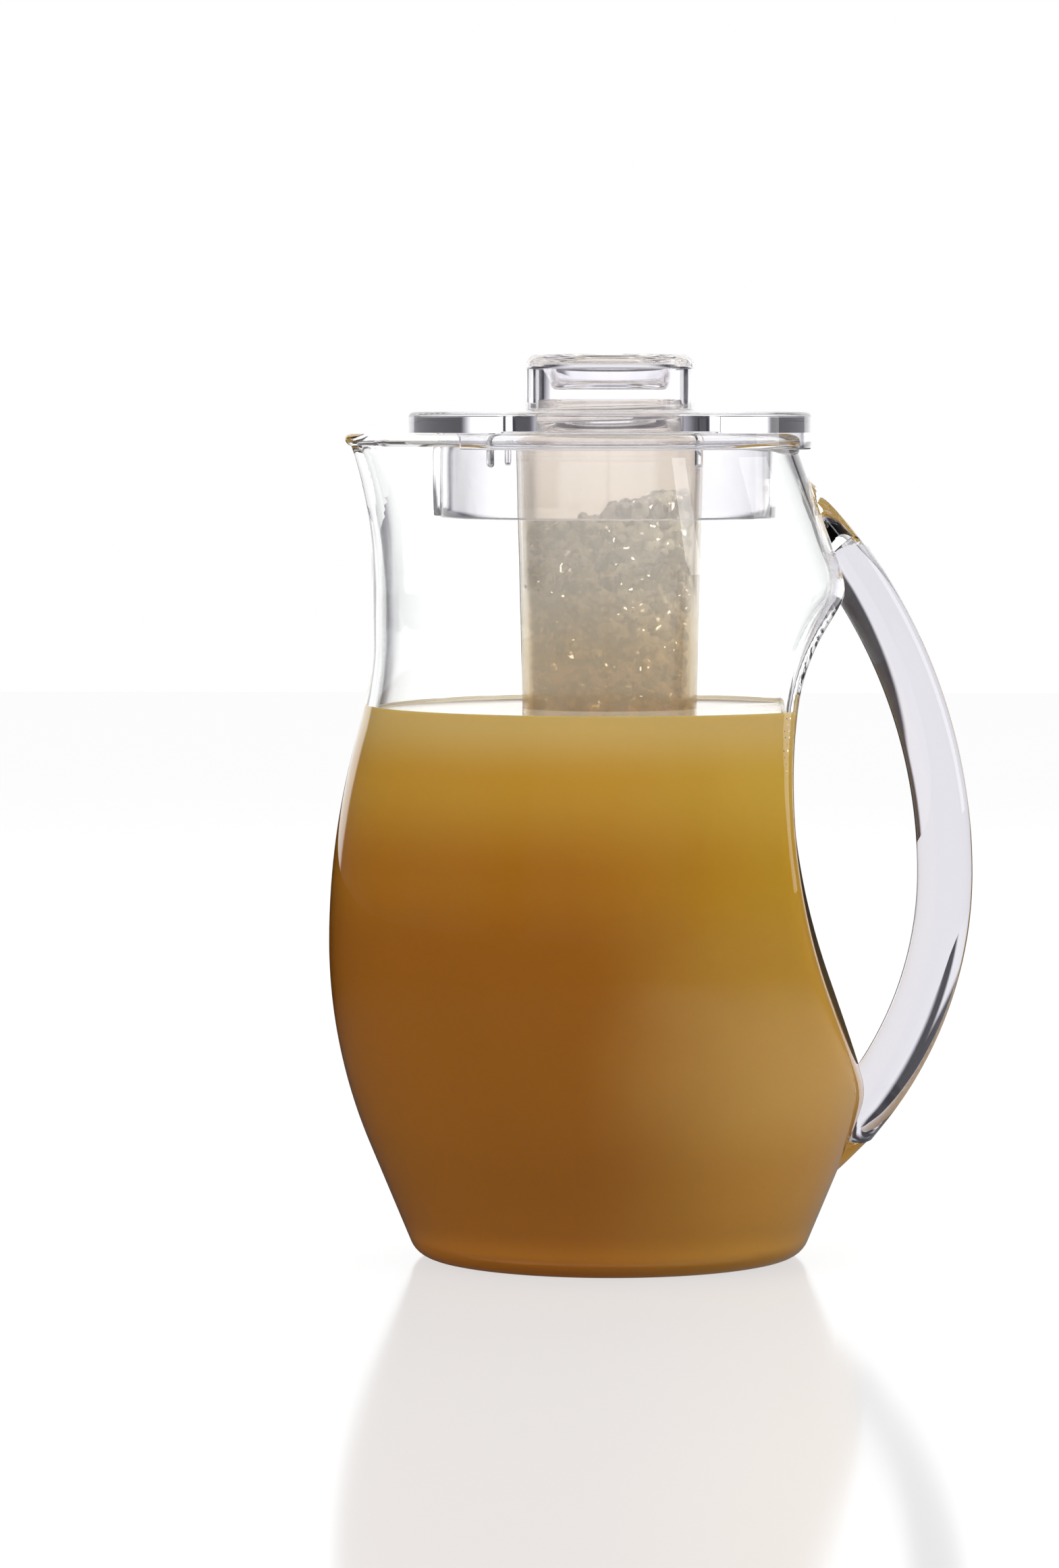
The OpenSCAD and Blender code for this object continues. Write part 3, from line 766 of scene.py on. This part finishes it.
# %% Drink
DRINK_Z = 153.0
MENISCUS = ((0, 0.8), (0.5, 0.35), (1.4, 0.1), (3, 0))  # in from the wall, and up
WET = 0.05
drink_outline = [(r, z) for r, z in body_outline(WALL - WET, FLOOR - WET, RIM_Z) if z < DRINK_Z]
edge_r = drink_outline[-1][0]
drink_outline += [(edge_r, DRINK_Z)]
drink_outline = evenly(drink_outline, gap=3)
drink_outline += [(edge_r - back, DRINK_Z + up) for back, up in MENISCUS]
drink_outline += [(edge_r / 2, DRINK_Z), (0, DRINK_Z)]
drink = turned("drink", drink_outline, [(360, BODY_STEPS)])
shape_wall(drink, drink_outline, [WALL - WET] * len(drink_outline))
closed(drink)
smooth(drink, 60)
print("drink:", len(drink.data.polygons), "faces")

# %% [markdown]
# ## Crushed ice
#
# The cup is full of crushed ice. Only the outermost grains and the heap on top are ever
# seen, so the middle is one plain plug and the grains are set round it in layers, each
# turned, sized and shifted a little by a seeded random number. One grain is modelled from
# an ico sphere with its points pushed about, and then repeated.

# %% Crushed ice
GRAIN_R = 1.75
GRAIN_ROUGH = 0.28
GRAIN_GAP = 3.0
GRAIN_SIZES = (0.6, 1.15)  # smallest and largest, against GRAIN_R
LAYER_RISE = GRAIN_GAP * 0.84
RING_STEP = GRAIN_GAP * 0.9
TURN_BY, BACK_BY, RISE_BY = 0.45, 1.5, 1.4  # how far chance moves a grain
HEAP_Z, HEAP_SLOPE, HEAP_LOW, HEAP_TOP = 209.0, 0.24, 205, 216
LUMP_H, LUMP_X, LUMP_Y, LUMP_SHIFT = 1.2, 0.31, 0.27, 0.7
PLUG_TOP, PLUG_BELOW = 203, 2.4  # its straight end, and how far it stays under the heap
ICE_LOW = CORE_FOOT_Z + CORE_WALL + GRAIN_R
dice = random.Random(7)


def core_in_r(z):
    """Inside radius of the cup at a height."""
    rise = z - CORE_FOOT_Z - CORE_FOOT_ROUND
    straight = CORE_FOOT_R + rise * math.tan(math.radians(CORE_LEAN)) - CORE_WALL
    if rise > 0:
        return straight
    return straight - CORE_FOOT_ROUND + CORE_WALL + math.sqrt(
        max((CORE_FOOT_ROUND - CORE_WALL) ** 2 - rise ** 2, 0))


def heap_z(x, y):
    """Height of the ice's surface, which slopes and is lumpy."""
    lump = LUMP_H * math.sin(LUMP_X * x + LUMP_SHIFT) * math.cos(LUMP_Y * y)
    return HEAP_Z + HEAP_SLOPE * x + lump


deselect()
bpy.ops.mesh.primitive_ico_sphere_add(subdivisions=2, radius=GRAIN_R * MM)
grain = bpy.context.object
edit_all(grain)
bpy.ops.transform.vertex_random(offset=GRAIN_ROUGH * MM, seed=3)
bpy.ops.object.mode_set(mode="OBJECT")
grain_points = [point.co.copy() for point in grain.data.vertices]
grain_faces = [list(face.vertices) for face in grain.data.polygons]
bpy.data.objects.remove(grain)


def grains(name, places):
    """One piece of many grains, each turned and sized by chance."""
    points, faces = [], []
    for place in places:
        spin = Euler([dice.uniform(0, 2 * math.pi) for _ in range(3)]).to_matrix()
        size = dice.uniform(*GRAIN_SIZES)
        first = len(points)
        points += [spin @ co * size + Vector(place) * MM for co in grain_points]
        faces += [[first + index for index in face] for face in grain_faces]
    mesh = bpy.data.meshes.new(name)
    mesh.from_pydata(points, [], faces)
    piece = bpy.data.objects.new(name, mesh)
    bpy.context.collection.objects.link(piece)
    return smooth(piece, 30)


def layer(z, r):
    """Places round a ring, shifted by chance and left out above the heap."""
    count = max(1, round(2 * math.pi * r / GRAIN_GAP))
    first = dice.uniform(0, 2 * math.pi)
    places = []
    for k in range(count):
        turn = first + 2 * math.pi * (k + dice.uniform(-TURN_BY, TURN_BY)) / count
        reach = r - dice.uniform(0, BACK_BY)
        place = (reach * math.cos(turn), reach * math.sin(turn),
                 z + dice.uniform(-RISE_BY, RISE_BY))
        if place[2] < heap_z(place[0], place[1]) - GRAIN_R:
            places.append(place)
    return places


# %% Heaping the ice
places = []
z = ICE_LOW
while z < HEAP_TOP:
    places += layer(z, core_in_r(z - GRAIN_R) - GRAIN_R * 0.95)
    z += LAYER_RISE
top_places = []
r = core_in_r(HEAP_LOW) - GRAIN_R
while r > 0:
    for x, y, _ in layer(0, r):
        top_places.append((x, y, heap_z(x, y) - GRAIN_R * dice.uniform(0.8, 1.3)))
    r -= RING_STEP
half = len(places) // 2
ice_low = grains("ice_low", places[:half])
ice_high = grains("ice_high", places[half:])
ice_top = grains("ice_top", top_places)
plug_outline = [(0, ICE_LOW)] + [
    (core_in_r(z) - GRAIN_R * 1.3, z) for z in (ICE_LOW + 2, 60, 120, PLUG_TOP)] + [(0, PLUG_TOP)]
plug = turned("ice_plug", evenly(plug_outline, gap=6), [(360, 48)])
for point in plug.data.vertices:
    if point.co.z > (PLUG_TOP - 1) * MM:
        point.co.z = (heap_z(point.co.x / MM, point.co.y / MM) - PLUG_BELOW) * MM
smooth(plug, 40)
print("ice grains:", len(places) + len(top_places))

# %% [markdown]
# ## Finishes
#
# Every finish is built from a few kinds of node, so they are made by helpers: an empty
# material, a Principled shader, a number worked out from others, a number that changes
# between two places, and a colour that changes over a height. A lamp's shadow rays pass
# straight through plastic and ice, mixed in by the Light Path node, because real clear
# plastic casts only a pale shadow.

# %% Node helpers
def fresh(name):
    """An empty node material, its nodes, its links and its output."""
    finish = bpy.data.materials.new(name)
    finish.use_nodes = True
    finish.node_tree.nodes.clear()
    nodes, links = finish.node_tree.nodes, finish.node_tree.links
    return finish, nodes, links, nodes.new("ShaderNodeOutputMaterial")


def principled(nodes, **values):
    """A Principled shader with its sockets set by name."""
    shader = nodes.new("ShaderNodeBsdfPrincipled")
    for socket, value in values.items():
        shader.inputs[socket.replace("_", " ")].default_value = value
    return shader


def own_place(nodes, links):
    """The piece's own coordinates, whole and split into X, Y and Z."""
    place = nodes.new("ShaderNodeTexCoord").outputs["Object"]
    split = nodes.new("ShaderNodeSeparateXYZ")
    links.new(place, split.inputs["Vector"])
    return place, split.outputs


def worked(nodes, links, operation, first, second):
    """A math node on two numbers or outputs."""
    step = nodes.new("ShaderNodeMath")
    step.operation = operation
    step.use_clamp = operation in ("ADD", "SUBTRACT")
    for socket, value in zip(step.inputs, (first, second)):
        if isinstance(value, (int, float)):
            socket.default_value = value
        else:
            links.new(value, socket)
    return step.outputs["Value"]


def eased_between(nodes, links, value, low, high, to_low=0.0, to_high=1.0):
    """A number that changes smoothly while a value goes from low to high."""
    step = nodes.new("ShaderNodeMapRange")
    step.interpolation_type = "SMOOTHSTEP"
    for socket, number in zip(("From Min", "From Max", "To Min", "To Max"),
                              (low, high, to_low, to_high)):
        step.inputs[socket].default_value = number
    links.new(value, step.inputs["Value"])
    return step.outputs["Result"]


def climbing(nodes, links, value, low, high, to_low=0.0, to_high=1.0):
    """The same between two places in millimetres."""
    return eased_between(nodes, links, value, low * MM, high * MM, to_low, to_high)


def ramp(nodes, links, value, low, high, stops):
    """A colour ramp over a range in millimetres, from pairs of place and colour."""
    reach = nodes.new("ShaderNodeMapRange")
    reach.inputs["From Min"].default_value = low * MM
    reach.inputs["From Max"].default_value = high * MM
    colours = nodes.new("ShaderNodeValToRGB")
    colours.color_ramp.interpolation = "EASE"
    while len(colours.color_ramp.elements) < len(stops):
        colours.color_ramp.elements.new(0.5)
    for element, (at, colour) in zip(colours.color_ramp.elements, stops):
        element.position = (at - low) / (high - low)
        element.color = (*colour, 1)
    links.new(value, reach.inputs["Value"])
    links.new(reach.outputs["Result"], colours.inputs["Fac"])
    return colours.outputs["Color"]


def blended(nodes, links, factor, first, second):
    """A colour between two others, given as outputs or as plain colours."""
    blend = nodes.new("ShaderNodeMix")
    blend.data_type = "RGBA"
    links.new(factor, blend.inputs["Factor"])
    for socket, colour in (("A", first), ("B", second)):
        if isinstance(colour, tuple):
            blend.inputs[socket].default_value = colour
        else:
            links.new(colour, blend.inputs[socket])
    return blend.outputs["Result"]


def mixed(nodes, links, factor, first, second):
    """Mixes two shaders by a number or by another node's output."""
    mix = nodes.new("ShaderNodeMixShader")
    if isinstance(factor, float):
        mix.inputs["Fac"].default_value = factor
    else:
        links.new(factor, mix.inputs["Fac"])
    links.new(first, mix.inputs[1])
    links.new(second, mix.inputs[2])
    return mix.outputs["Shader"]


def lit_through(nodes, links, shader, out, tint):
    """Lets lamps shine through a shader, which its other rays still see."""
    path = nodes.new("ShaderNodeLightPath")
    clear = nodes.new("ShaderNodeBsdfTransparent")
    clear.inputs["Color"].default_value = tint
    links.new(mixed(nodes, links, path.outputs["Is Shadow Ray"], shader.outputs["BSDF"],
                    clear.outputs["BSDF"]), out.inputs["Surface"])


# %% [markdown]
# The body, the handle and the lid are one finish with other tints: full transmission, no
# roughness, and the index of acrylic. The handle is the greyest, as the thick solid bar is
# in the photograph. A weak bump with a long wave bends the reflections a little, as the
# skin of a moulding does.

# %% Clear plastic
RIPPLE_SCALE = 55  # waves to a metre
RIPPLE_DEPTH = 0.0004
PLASTIC_SHADOW = (0.96, 0.96, 0.96, 1)


def clear_plastic(name, tint, ripple):
    """Clear moulded plastic, with the faint long waves that a mould leaves in it."""
    finish, nodes, links, out = fresh(name)
    shader = principled(nodes, Base_Color=tint, Roughness=0.0, IOR=1.49, Transmission_Weight=1.0)
    place, _ = own_place(nodes, links)
    wave = nodes.new("ShaderNodeTexNoise")
    wave.inputs["Scale"].default_value = RIPPLE_SCALE
    wave.inputs["Detail"].default_value = 1
    bump = nodes.new("ShaderNodeBump")
    bump.inputs["Strength"].default_value = ripple
    bump.inputs["Distance"].default_value = RIPPLE_DEPTH
    links.new(place, wave.inputs["Vector"])
    links.new(wave.outputs["Fac"], bump.inputs["Height"])
    links.new(bump.outputs["Normal"], shader.inputs["Normal"])
    lit_through(nodes, links, shader, out, PLASTIC_SHADOW)
    return finish


shell.data.materials.append(clear_plastic("clear_body", (0.985, 0.99, 0.99, 1), 0.15))
grip.data.materials.append(clear_plastic("clear_handle", (0.65, 0.64, 0.68, 1), 0.1))
lid.data.materials.append(clear_plastic("clear_lid", (0.96, 0.955, 0.975, 1), 0.15))

# %% [markdown]
# The core is milky below its shoulder and clear in its neck, so its roughness and its
# transmission change there. Its colour is painted warmer the nearer it is to the drink: this is
# painted light of the drink's colour, which the light carries up into it.

# %% Frosted core
finish, nodes, links, out = fresh("frosted_core")
shader = principled(nodes, IOR=1.45)
_, axis = own_place(nodes, links)
# Painted light: the base colour is browner near the drink, standing in for the drink's light
# carried up into the core.
links.new(ramp(nodes, links, axis["Z"], 140, 240, [
    (140, (0.62, 0.42, 0.16)), (165, (0.78, 0.66, 0.46)), (195, (0.90, 0.84, 0.74)),
    (228, (0.95, 0.89, 0.82)), (234, (0.97, 0.96, 0.96))]), shader.inputs["Base Color"])
for socket, milky, clear in (("Roughness", 0.07, 0.02), ("Transmission Weight", 0.82, 0.96)):
    links.new(climbing(nodes, links, axis["Z"], CORE_TOP - 2, CORE_TOP + 1, milky, clear),
              shader.inputs[socket])
lit_through(nodes, links, shader, out, (0.94, 0.93, 0.92, 1))
core.data.materials.append(finish)

# %% [markdown]
# The ice's colour has painted light and shade in it. It is painted darker at the left, away
# from the lamp, and the drink's colour is painted into it low down, where the drink's light
# reaches it. Two ramps over its height, one in painted shade and one lit, are mixed across it.
# The cells of a Voronoi pattern, bent by noise, make each crystal a little darker or lighter
# than the next, and the middle of a few cells glows as a painted glint, as a facet does that
# catches a lamp.

# %% Ice
STIR_SCALE, STIR_BY = 300, 0.005
CRYSTAL_SCALE = 420
CRYSTAL_SHADES = (0.55, 1.35)  # darkest and lightest crystal, against the colour of the ice
# Painted glints: emission in the middle of a few crystals, more of them on the lit right.
GLINT_FROM, GLINT_TO = -20, 20  # across the core, in millimetres
GLINT_LIMITS = (0.88, 0.74)  # a crystal's number has to pass this to glint, left and right
GLINT_SIZE = 0.2
GLINT_STRENGTH = 1.6

finish, nodes, links, out = fresh("ice")
shader = principled(nodes, Roughness=0.03, IOR=1.31, Transmission_Weight=0.6,
                    Emission_Color=(1, 0.97, 0.9, 1))
place, axis = own_place(nodes, links)
# Painted shade at the left and painted light at the right, both browner low down near the drink.
ice_shaded_tone = ramp(nodes, links, axis["Z"], 140, 210, [
    (140, (0.34, 0.17, 0.03)), (160, (0.36, 0.23, 0.08)), (180, (0.36, 0.29, 0.19)),
    (210, (0.44, 0.41, 0.35))])
ice_lit_tone = ramp(nodes, links, axis["Z"], 140, 210, [
    (140, (0.50, 0.33, 0.13)), (160, (0.62, 0.50, 0.32)), (180, (0.78, 0.73, 0.64)),
    (210, (0.84, 0.84, 0.80))])
tone = blended(nodes, links, climbing(nodes, links, axis["X"], -8, 26), ice_shaded_tone, ice_lit_tone)

stir = nodes.new("ShaderNodeTexNoise")
stir.inputs["Scale"].default_value = STIR_SCALE
bent = nodes.new("ShaderNodeVectorMath")
bent.operation = "MULTIPLY_ADD"
bent.inputs[1].default_value = (STIR_BY, STIR_BY, STIR_BY)
cells = nodes.new("ShaderNodeTexVoronoi")
cells.inputs["Scale"].default_value = CRYSTAL_SCALE
chance = nodes.new("ShaderNodeSeparateColor")
links.new(place, stir.inputs["Vector"])
links.new(stir.outputs["Color"], bent.inputs[0])
links.new(place, bent.inputs[2])
links.new(bent.outputs["Vector"], cells.inputs["Vector"])
links.new(cells.outputs["Color"], chance.inputs["Color"])

uneven = nodes.new("ShaderNodeVectorMath")
uneven.operation = "SCALE"
links.new(tone, uneven.inputs[0])
links.new(eased_between(nodes, links, chance.outputs["Green"], 0, 1, *CRYSTAL_SHADES),
          uneven.inputs["Scale"])
links.new(uneven.outputs["Vector"], shader.inputs["Base Color"])

# Painted highlights: the chosen cells glow by emission, not by a lamp.
limit = climbing(nodes, links, axis["X"], GLINT_FROM, GLINT_TO, *GLINT_LIMITS)
picked = worked(nodes, links, "GREATER_THAN", chance.outputs["Red"], limit)
middle = worked(nodes, links, "LESS_THAN", cells.outputs["Distance"], GLINT_SIZE)
spots = worked(nodes, links, "MULTIPLY", picked, middle)
links.new(worked(nodes, links, "MULTIPLY", spots, GLINT_STRENGTH),
          shader.inputs["Emission Strength"])
lit_through(nodes, links, shader, out, (0.85, 0.85, 0.85, 1))
for piece in (ice_low, ice_high, ice_top, plug):
    piece.data.materials.append(finish)

# %% [markdown]
# The drink is cloudy, so it is shaded as a solid with some light scattered under its
# surface. Its golden brown colour has painted light and shade in it. It is painted palest at
# the top, golden below that on the side where the lamp is, and brown where it is deepest. A
# ramp over its height is mixed with one across it, painted shade at the left and painted
# light at the right. Light that the cloudy drink has spread also reaches its underside, so a
# little glow is added there.
# Its free surface is painted paler, a painted reflection of the white that lies behind.

# %% Drink's colour
DRINK_GLOW = 0.22  # at the floor, fading out over DRINK_GLOW_RISE millimetres
DRINK_GLOW_RISE = 9
CLOUD_DRIFT = 0.03  # how far the clouds shift the mix across the drink, in metres

finish, nodes, links, out = fresh("drink")
shader = principled(nodes, Roughness=0.06, IOR=1.34, Subsurface_Weight=0.25,
                    Subsurface_Radius=(1.0, 0.6, 0.2), Subsurface_Scale=0.008,
                    Specular_IOR_Level=0.1)
place, axis = own_place(nodes, links)
# Painted shade on the side away from the lamp, and painted light and shade over the height.
drink_shaded_tone = ramp(nodes, links, axis["Z"], 0, DRINK_Z, [
    (0, (0.40, 0.15, 0.015)), (30, (0.35, 0.13, 0.01)), (90, (0.312, 0.112, 0.008)),
    (110, (0.36, 0.145, 0.01)), (136, (0.46, 0.255, 0.03)), (DRINK_Z, (0.53, 0.37, 0.12))])
# Painted light on the lamp's side.
drink_lit_tone = ramp(nodes, links, axis["Z"], 0, DRINK_Z, [
    (0, (0.44, 0.22, 0.03)), (26, (0.475, 0.242, 0.035)), (52, (0.52, 0.30, 0.065)),
    (90, (0.45, 0.253, 0.034)), (110, (0.452, 0.259, 0.022)), (136, (0.505, 0.326, 0.05)),
    (DRINK_Z, (0.54, 0.38, 0.13))])
cloud = nodes.new("ShaderNodeTexNoise")
cloud.inputs["Scale"].default_value = 14
cloud.inputs["Detail"].default_value = 2
links.new(place, cloud.inputs["Vector"])
drift = nodes.new("ShaderNodeMath")
drift.operation = "MULTIPLY_ADD"
drift.inputs[1].default_value = CLOUD_DRIFT
links.new(cloud.outputs["Fac"], drift.inputs[0])
links.new(axis["X"], drift.inputs[2])
tone = blended(nodes, links, climbing(nodes, links, drift.outputs["Value"], 5, 65), drink_shaded_tone, drink_lit_tone)
links.new(tone, shader.inputs["Base Color"])
links.new(tone, shader.inputs["Emission Color"])
links.new(climbing(nodes, links, axis["Z"], FLOOR, FLOOR + DRINK_GLOW_RISE, DRINK_GLOW, 0.0),
          shader.inputs["Emission Strength"])
links.new(shader.outputs["BSDF"], out.inputs["Surface"])
drink.data.materials.append(finish)

free = finish.copy()
free.name = "drink_surface"
free_shader = free.node_tree.nodes[shader.name]
free_shader.inputs["Specular IOR Level"].default_value = 0.5
free.node_tree.links.remove(free_shader.inputs["Base Color"].links[0])
# Painted reflection: the paler colour stands in for the white mirrored in the surface.
free_shader.inputs["Base Color"].default_value = (0.72, 0.62, 0.46, 1)
drink.data.materials.append(free)
for face in drink.data.polygons:
    if face.center.z > (DRINK_Z - 0.1) * MM and face.normal.z > 0.1:
        face.material_index = 1
print("drink's finishes:", [finish.name for finish in drink.data.materials])

# %% [markdown]
# ## Floor and light
#
# Clear plastic is drawn by its surroundings alone, so what a ray sees depends on how it
# got there. Straight from the camera, the floor glows white like the background, so that
# they meet without a line, and still takes the pitcher's shadow and a faint mirror image of
# it. Through plastic, the floor is a little brighter, which makes up for what each face
# takes away. In the gloss of the pitcher, it is dim at the left, brighter at the right, and
# fades out with distance. Light that a dull surface has scattered before sees none of this.

# %% What a ray has met
def looked_at(nodes, links, kind, but_not=None):
    """1 for rays of a kind, unless a dull surface has scattered them before."""
    path = nodes.new("ShaderNodeLightPath")
    seen = path.outputs[kind]
    if but_not:
        seen = worked(nodes, links, "SUBTRACT", seen, path.outputs[but_not])
    unscattered = worked(nodes, links, "SUBTRACT", 1, path.outputs["Diffuse Depth"])
    return worked(nodes, links, "MULTIPLY", seen, unscattered)


def mirrored(nodes, links):
    """1 for rays off a mirror. Rays through plastic count as glossy too, and are left out."""
    return looked_at(nodes, links, "Is Glossy Ray", "Is Transmission Ray")


# %% Floor
FLOOR_SIZE = 7
FLOOR_LOW = -0.0002  # a floor at the foot's own height would be missed by half of the rays
FLOOR_GLOW = 0.84
FLOOR_WHITE = 1.06
FLOOR_MIRROR = 0.32
BEHIND_GLOW = 1.25
FLOOR_IN_GLOSS = (0.05, 0.5)  # how bright it is in the pitcher's gloss, at the left and right
GLOSS_LEFT, GLOSS_RIGHT = -60, 260
FLOOR_EDGE = (300, 700)  # where, in the gloss, it fades into the dark room
FLOOR_BEYOND = 0.08

deselect()
bpy.ops.mesh.primitive_plane_add(size=FLOOR_SIZE, location=(0, 0, FLOOR_LOW))
floor = bpy.context.object
floor.name = floor.data.name = "floor"
finish, nodes, links, out = fresh("floor")
chalk = nodes.new("ShaderNodeBsdfDiffuse")
chalk.inputs["Color"].default_value = (0.94, 0.94, 0.94, 1)
gloss = nodes.new("ShaderNodeBsdfGlossy")
gloss.inputs["Roughness"].default_value = 0.12
place, axis = own_place(nodes, links)


def glowing(strength):
    """A white emission of a strength, given as a number or as a node's output."""
    glow = nodes.new("ShaderNodeEmission")
    if isinstance(strength, float):
        glow.inputs["Strength"].default_value = strength
    else:
        links.new(strength, glow.inputs["Strength"])
    return glow.outputs["Emission"]


path = nodes.new("ShaderNodeLightPath")
seen = worked(nodes, links, "MULTIPLY", path.outputs["Is Camera Ray"], FLOOR_GLOW)
lit = mixed(nodes, links, seen, chalk.outputs["BSDF"], glowing(FLOOR_WHITE))
lit = mixed(nodes, links, FLOOR_MIRROR, lit, gloss.outputs["BSDF"])
through = looked_at(nodes, links, "Is Transmission Ray")
lit = mixed(nodes, links, through, lit, glowing(BEHIND_GLOW))
away = nodes.new("ShaderNodeVectorMath")
away.operation = "LENGTH"
links.new(place, away.inputs[0])
near = climbing(nodes, links, away.outputs["Value"], *FLOOR_EDGE, 1, FLOOR_BEYOND)
across = climbing(nodes, links, axis["X"], GLOSS_LEFT, GLOSS_RIGHT, *FLOOR_IN_GLOSS)
lit = mixed(nodes, links, mirrored(nodes, links), lit,
            glowing(worked(nodes, links, "MULTIPLY", across, near)))
links.new(lit, out.inputs["Surface"])
floor.data.materials.append(finish)

# %% [markdown]
# ## The room
#
# Only rays that come through plastic, or off it, see the room. It is dark, with white low
# down behind the pitcher, which has a gap a little to the left, a pale ceiling, and paler
# panels at both sides and behind the camera. The dark lines along the rims, the neck and
# the handle are the dark parts between these. Bearings are in degrees, 0 straight behind
# the pitcher and 90 at its right, and a panel is two of them, its softness and its level.
# A ray off a mirror sees only the ceiling and the white behind, without the gap.

# %% The room as clear plastic sees it
ROOM_WHITE = 1.3
ROOM_DARK = 0.07
ROOM_RIGHT = 0.45
ROOM_MIRRORED = 0.88  # how much of the white behind shows off a mirror
ROOM_SCATTERED = 0.7
DARK_TINT = (0.88, 0.84, 1, 1)
BACKDROP_TOP = (0.05, 0.09)  # rise of a ray where the white behind ends, as a sine
CEILING = (0.45, 0.8)  # and where the pale ceiling begins
CEILING_WHITE = 0.9
BACKDROP = ((-12, 31, 3, ROOM_WHITE), (-40, -21, 2, ROOM_WHITE))
SIDES = ((70, 128, 16, ROOM_RIGHT), (-128, -82, 14, 1.0), (146, 181, 5, 1.0),
         (-181, -146, 5, 1.0))

world = bpy.data.worlds.new("room")
bpy.context.scene.world = world
world.use_nodes = True
nodes, links = world.node_tree.nodes, world.node_tree.links
nodes.clear()
out = nodes.new("ShaderNodeOutputWorld")
split = nodes.new("ShaderNodeSeparateXYZ")
links.new(nodes.new("ShaderNodeTexCoord").outputs["Generated"], split.inputs["Vector"])
rise = split.outputs["Z"]
bearing = worked(nodes, links, "ARCTAN2", split.outputs["X"], split.outputs["Y"])


def panel(low, high, soft, level):
    """Brightness of an upright panel between two bearings, with soft edges."""
    levels = []
    for edge, before, past in ((low, 0, 1), (high, 1, 0)):
        levels.append(eased_between(nodes, links, bearing, math.radians(edge - soft),
                                    math.radians(edge + soft), before, past))
    both = worked(nodes, links, "MULTIPLY", *levels)
    return worked(nodes, links, "MULTIPLY", both, level)


def brightest(*levels):
    """The greatest of a few numbers or outputs."""
    result = levels[0]
    for level in levels[1:]:
        result = worked(nodes, links, "MAXIMUM", result, level)
    return result


def background(strength):
    """A plain white background, or one by a node's output that is cooler where it is dark."""
    shade = nodes.new("ShaderNodeBackground")
    if isinstance(strength, float):
        shade.inputs["Color"].default_value = (1, 1, 1, 1)
        shade.inputs["Strength"].default_value = strength
    else:
        links.new(blended(nodes, links, strength, DARK_TINT, (1, 1, 1, 1)), shade.inputs["Color"])
        links.new(strength, shade.inputs["Strength"])
    return shade.outputs["Background"]


backdrop = worked(nodes, links, "MULTIPLY", brightest(*[panel(*one) for one in BACKDROP]),
                  eased_between(nodes, links, rise, *BACKDROP_TOP, 1, 0))
ceiling = eased_between(nodes, links, rise, *CEILING, 0, CEILING_WHITE)
around = brightest(backdrop, *[panel(*one) for one in SIDES], ceiling, ROOM_DARK)
behind = worked(nodes, links, "MULTIPLY", panel(-31, 31, 2, ROOM_WHITE), ROOM_MIRRORED)
off_mirror = brightest(ceiling, ROOM_DARK, behind)

# %% What each kind of ray sees
path = nodes.new("ShaderNodeLightPath")
seen = mixed(nodes, links, mirrored(nodes, links), background(around), background(off_mirror))
seen = mixed(nodes, links, path.outputs["Is Camera Ray"], seen, background(1.0))
scattered = worked(nodes, links, "MINIMUM", path.outputs["Diffuse Depth"], 1)
links.new(mixed(nodes, links, scattered, seen, background(ROOM_SCATTERED)), out.inputs["Surface"])

# %% [markdown]
# Three big soft lamps light the drink, the ice and the floor, and are hidden from plastic,
# where they would show as hard panes. Two more show, but only as gleams off its surface: a
# soft box at the right, and a narrow one high up, which draws the line along the handle.

# %% Lamps
LIT_SPOT = Vector((0, 0, 0.12))
for name, place, size, power, gleams in (
        ("key", (-0.9, -0.9, 1.3), (0.9, 0.9), 16, False),
        ("fill", (1.2, -0.8, 0.7), (0.7, 0.7), 7, False),
        ("back", (0.2, 1.1, 1.2), (1.0, 1.0), 12, False),
        ("side", (1.0, 0.2, 0.5), (0.4, 0.7), 1.8, True),
        ("narrow", (0.67, -0.63, 0.9), (0.14, 0.5), 0.9, True)):
    deselect()
    bpy.ops.object.light_add(type="AREA", location=place)
    lamp = bpy.context.object
    lamp.name = name
    lamp.data.shape = "RECTANGLE"
    lamp.data.size, lamp.data.size_y = size
    lamp.data.energy = power
    lamp.visible_glossy = gleams
    lamp.visible_transmission = False
    lamp.rotation_euler = (LIT_SPOT - Vector(place)).to_track_quat("-Z", "Y").to_euler()
    print("lamp:", name, power, "W")

# %% [markdown]
# Light that enters a clear wall edge-on is mirrored inside it many times before it leaves,
# so the render follows a ray for longer than usual. Where it stopped too soon, the wall
# would turn black.

# %% Render
cycles = bpy.context.scene.cycles
cycles.max_bounces = 64
cycles.glossy_bounces = 32
cycles.transmission_bounces = 48
cycles.transparent_max_bounces = 24
bpy.context.scene.view_settings.view_transform = "Standard"
bpy.context.scene.view_settings.look = "None"

# %% [markdown]
# ## Rides
#
# Each piece moves with the body of the CAD node that it stands for. The drink stays in the
# jug, and the ice goes with its cup.

# %% Rides
for piece, body, node, slot in ((shell, "jug_body", "jug", "clear_body"),
                                (grip, "jug_body", "handle", "clear_handle"),
                                (lid, "lid_body", "lid", "clear_lid"),
                                (core, "core_body", "ice_core", "frosted_core")):
    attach(piece, body)
    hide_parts(node)
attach(drink, "jug_body")
for piece in (ice_low, ice_high, ice_top, plug):
    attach(piece, "core_body")
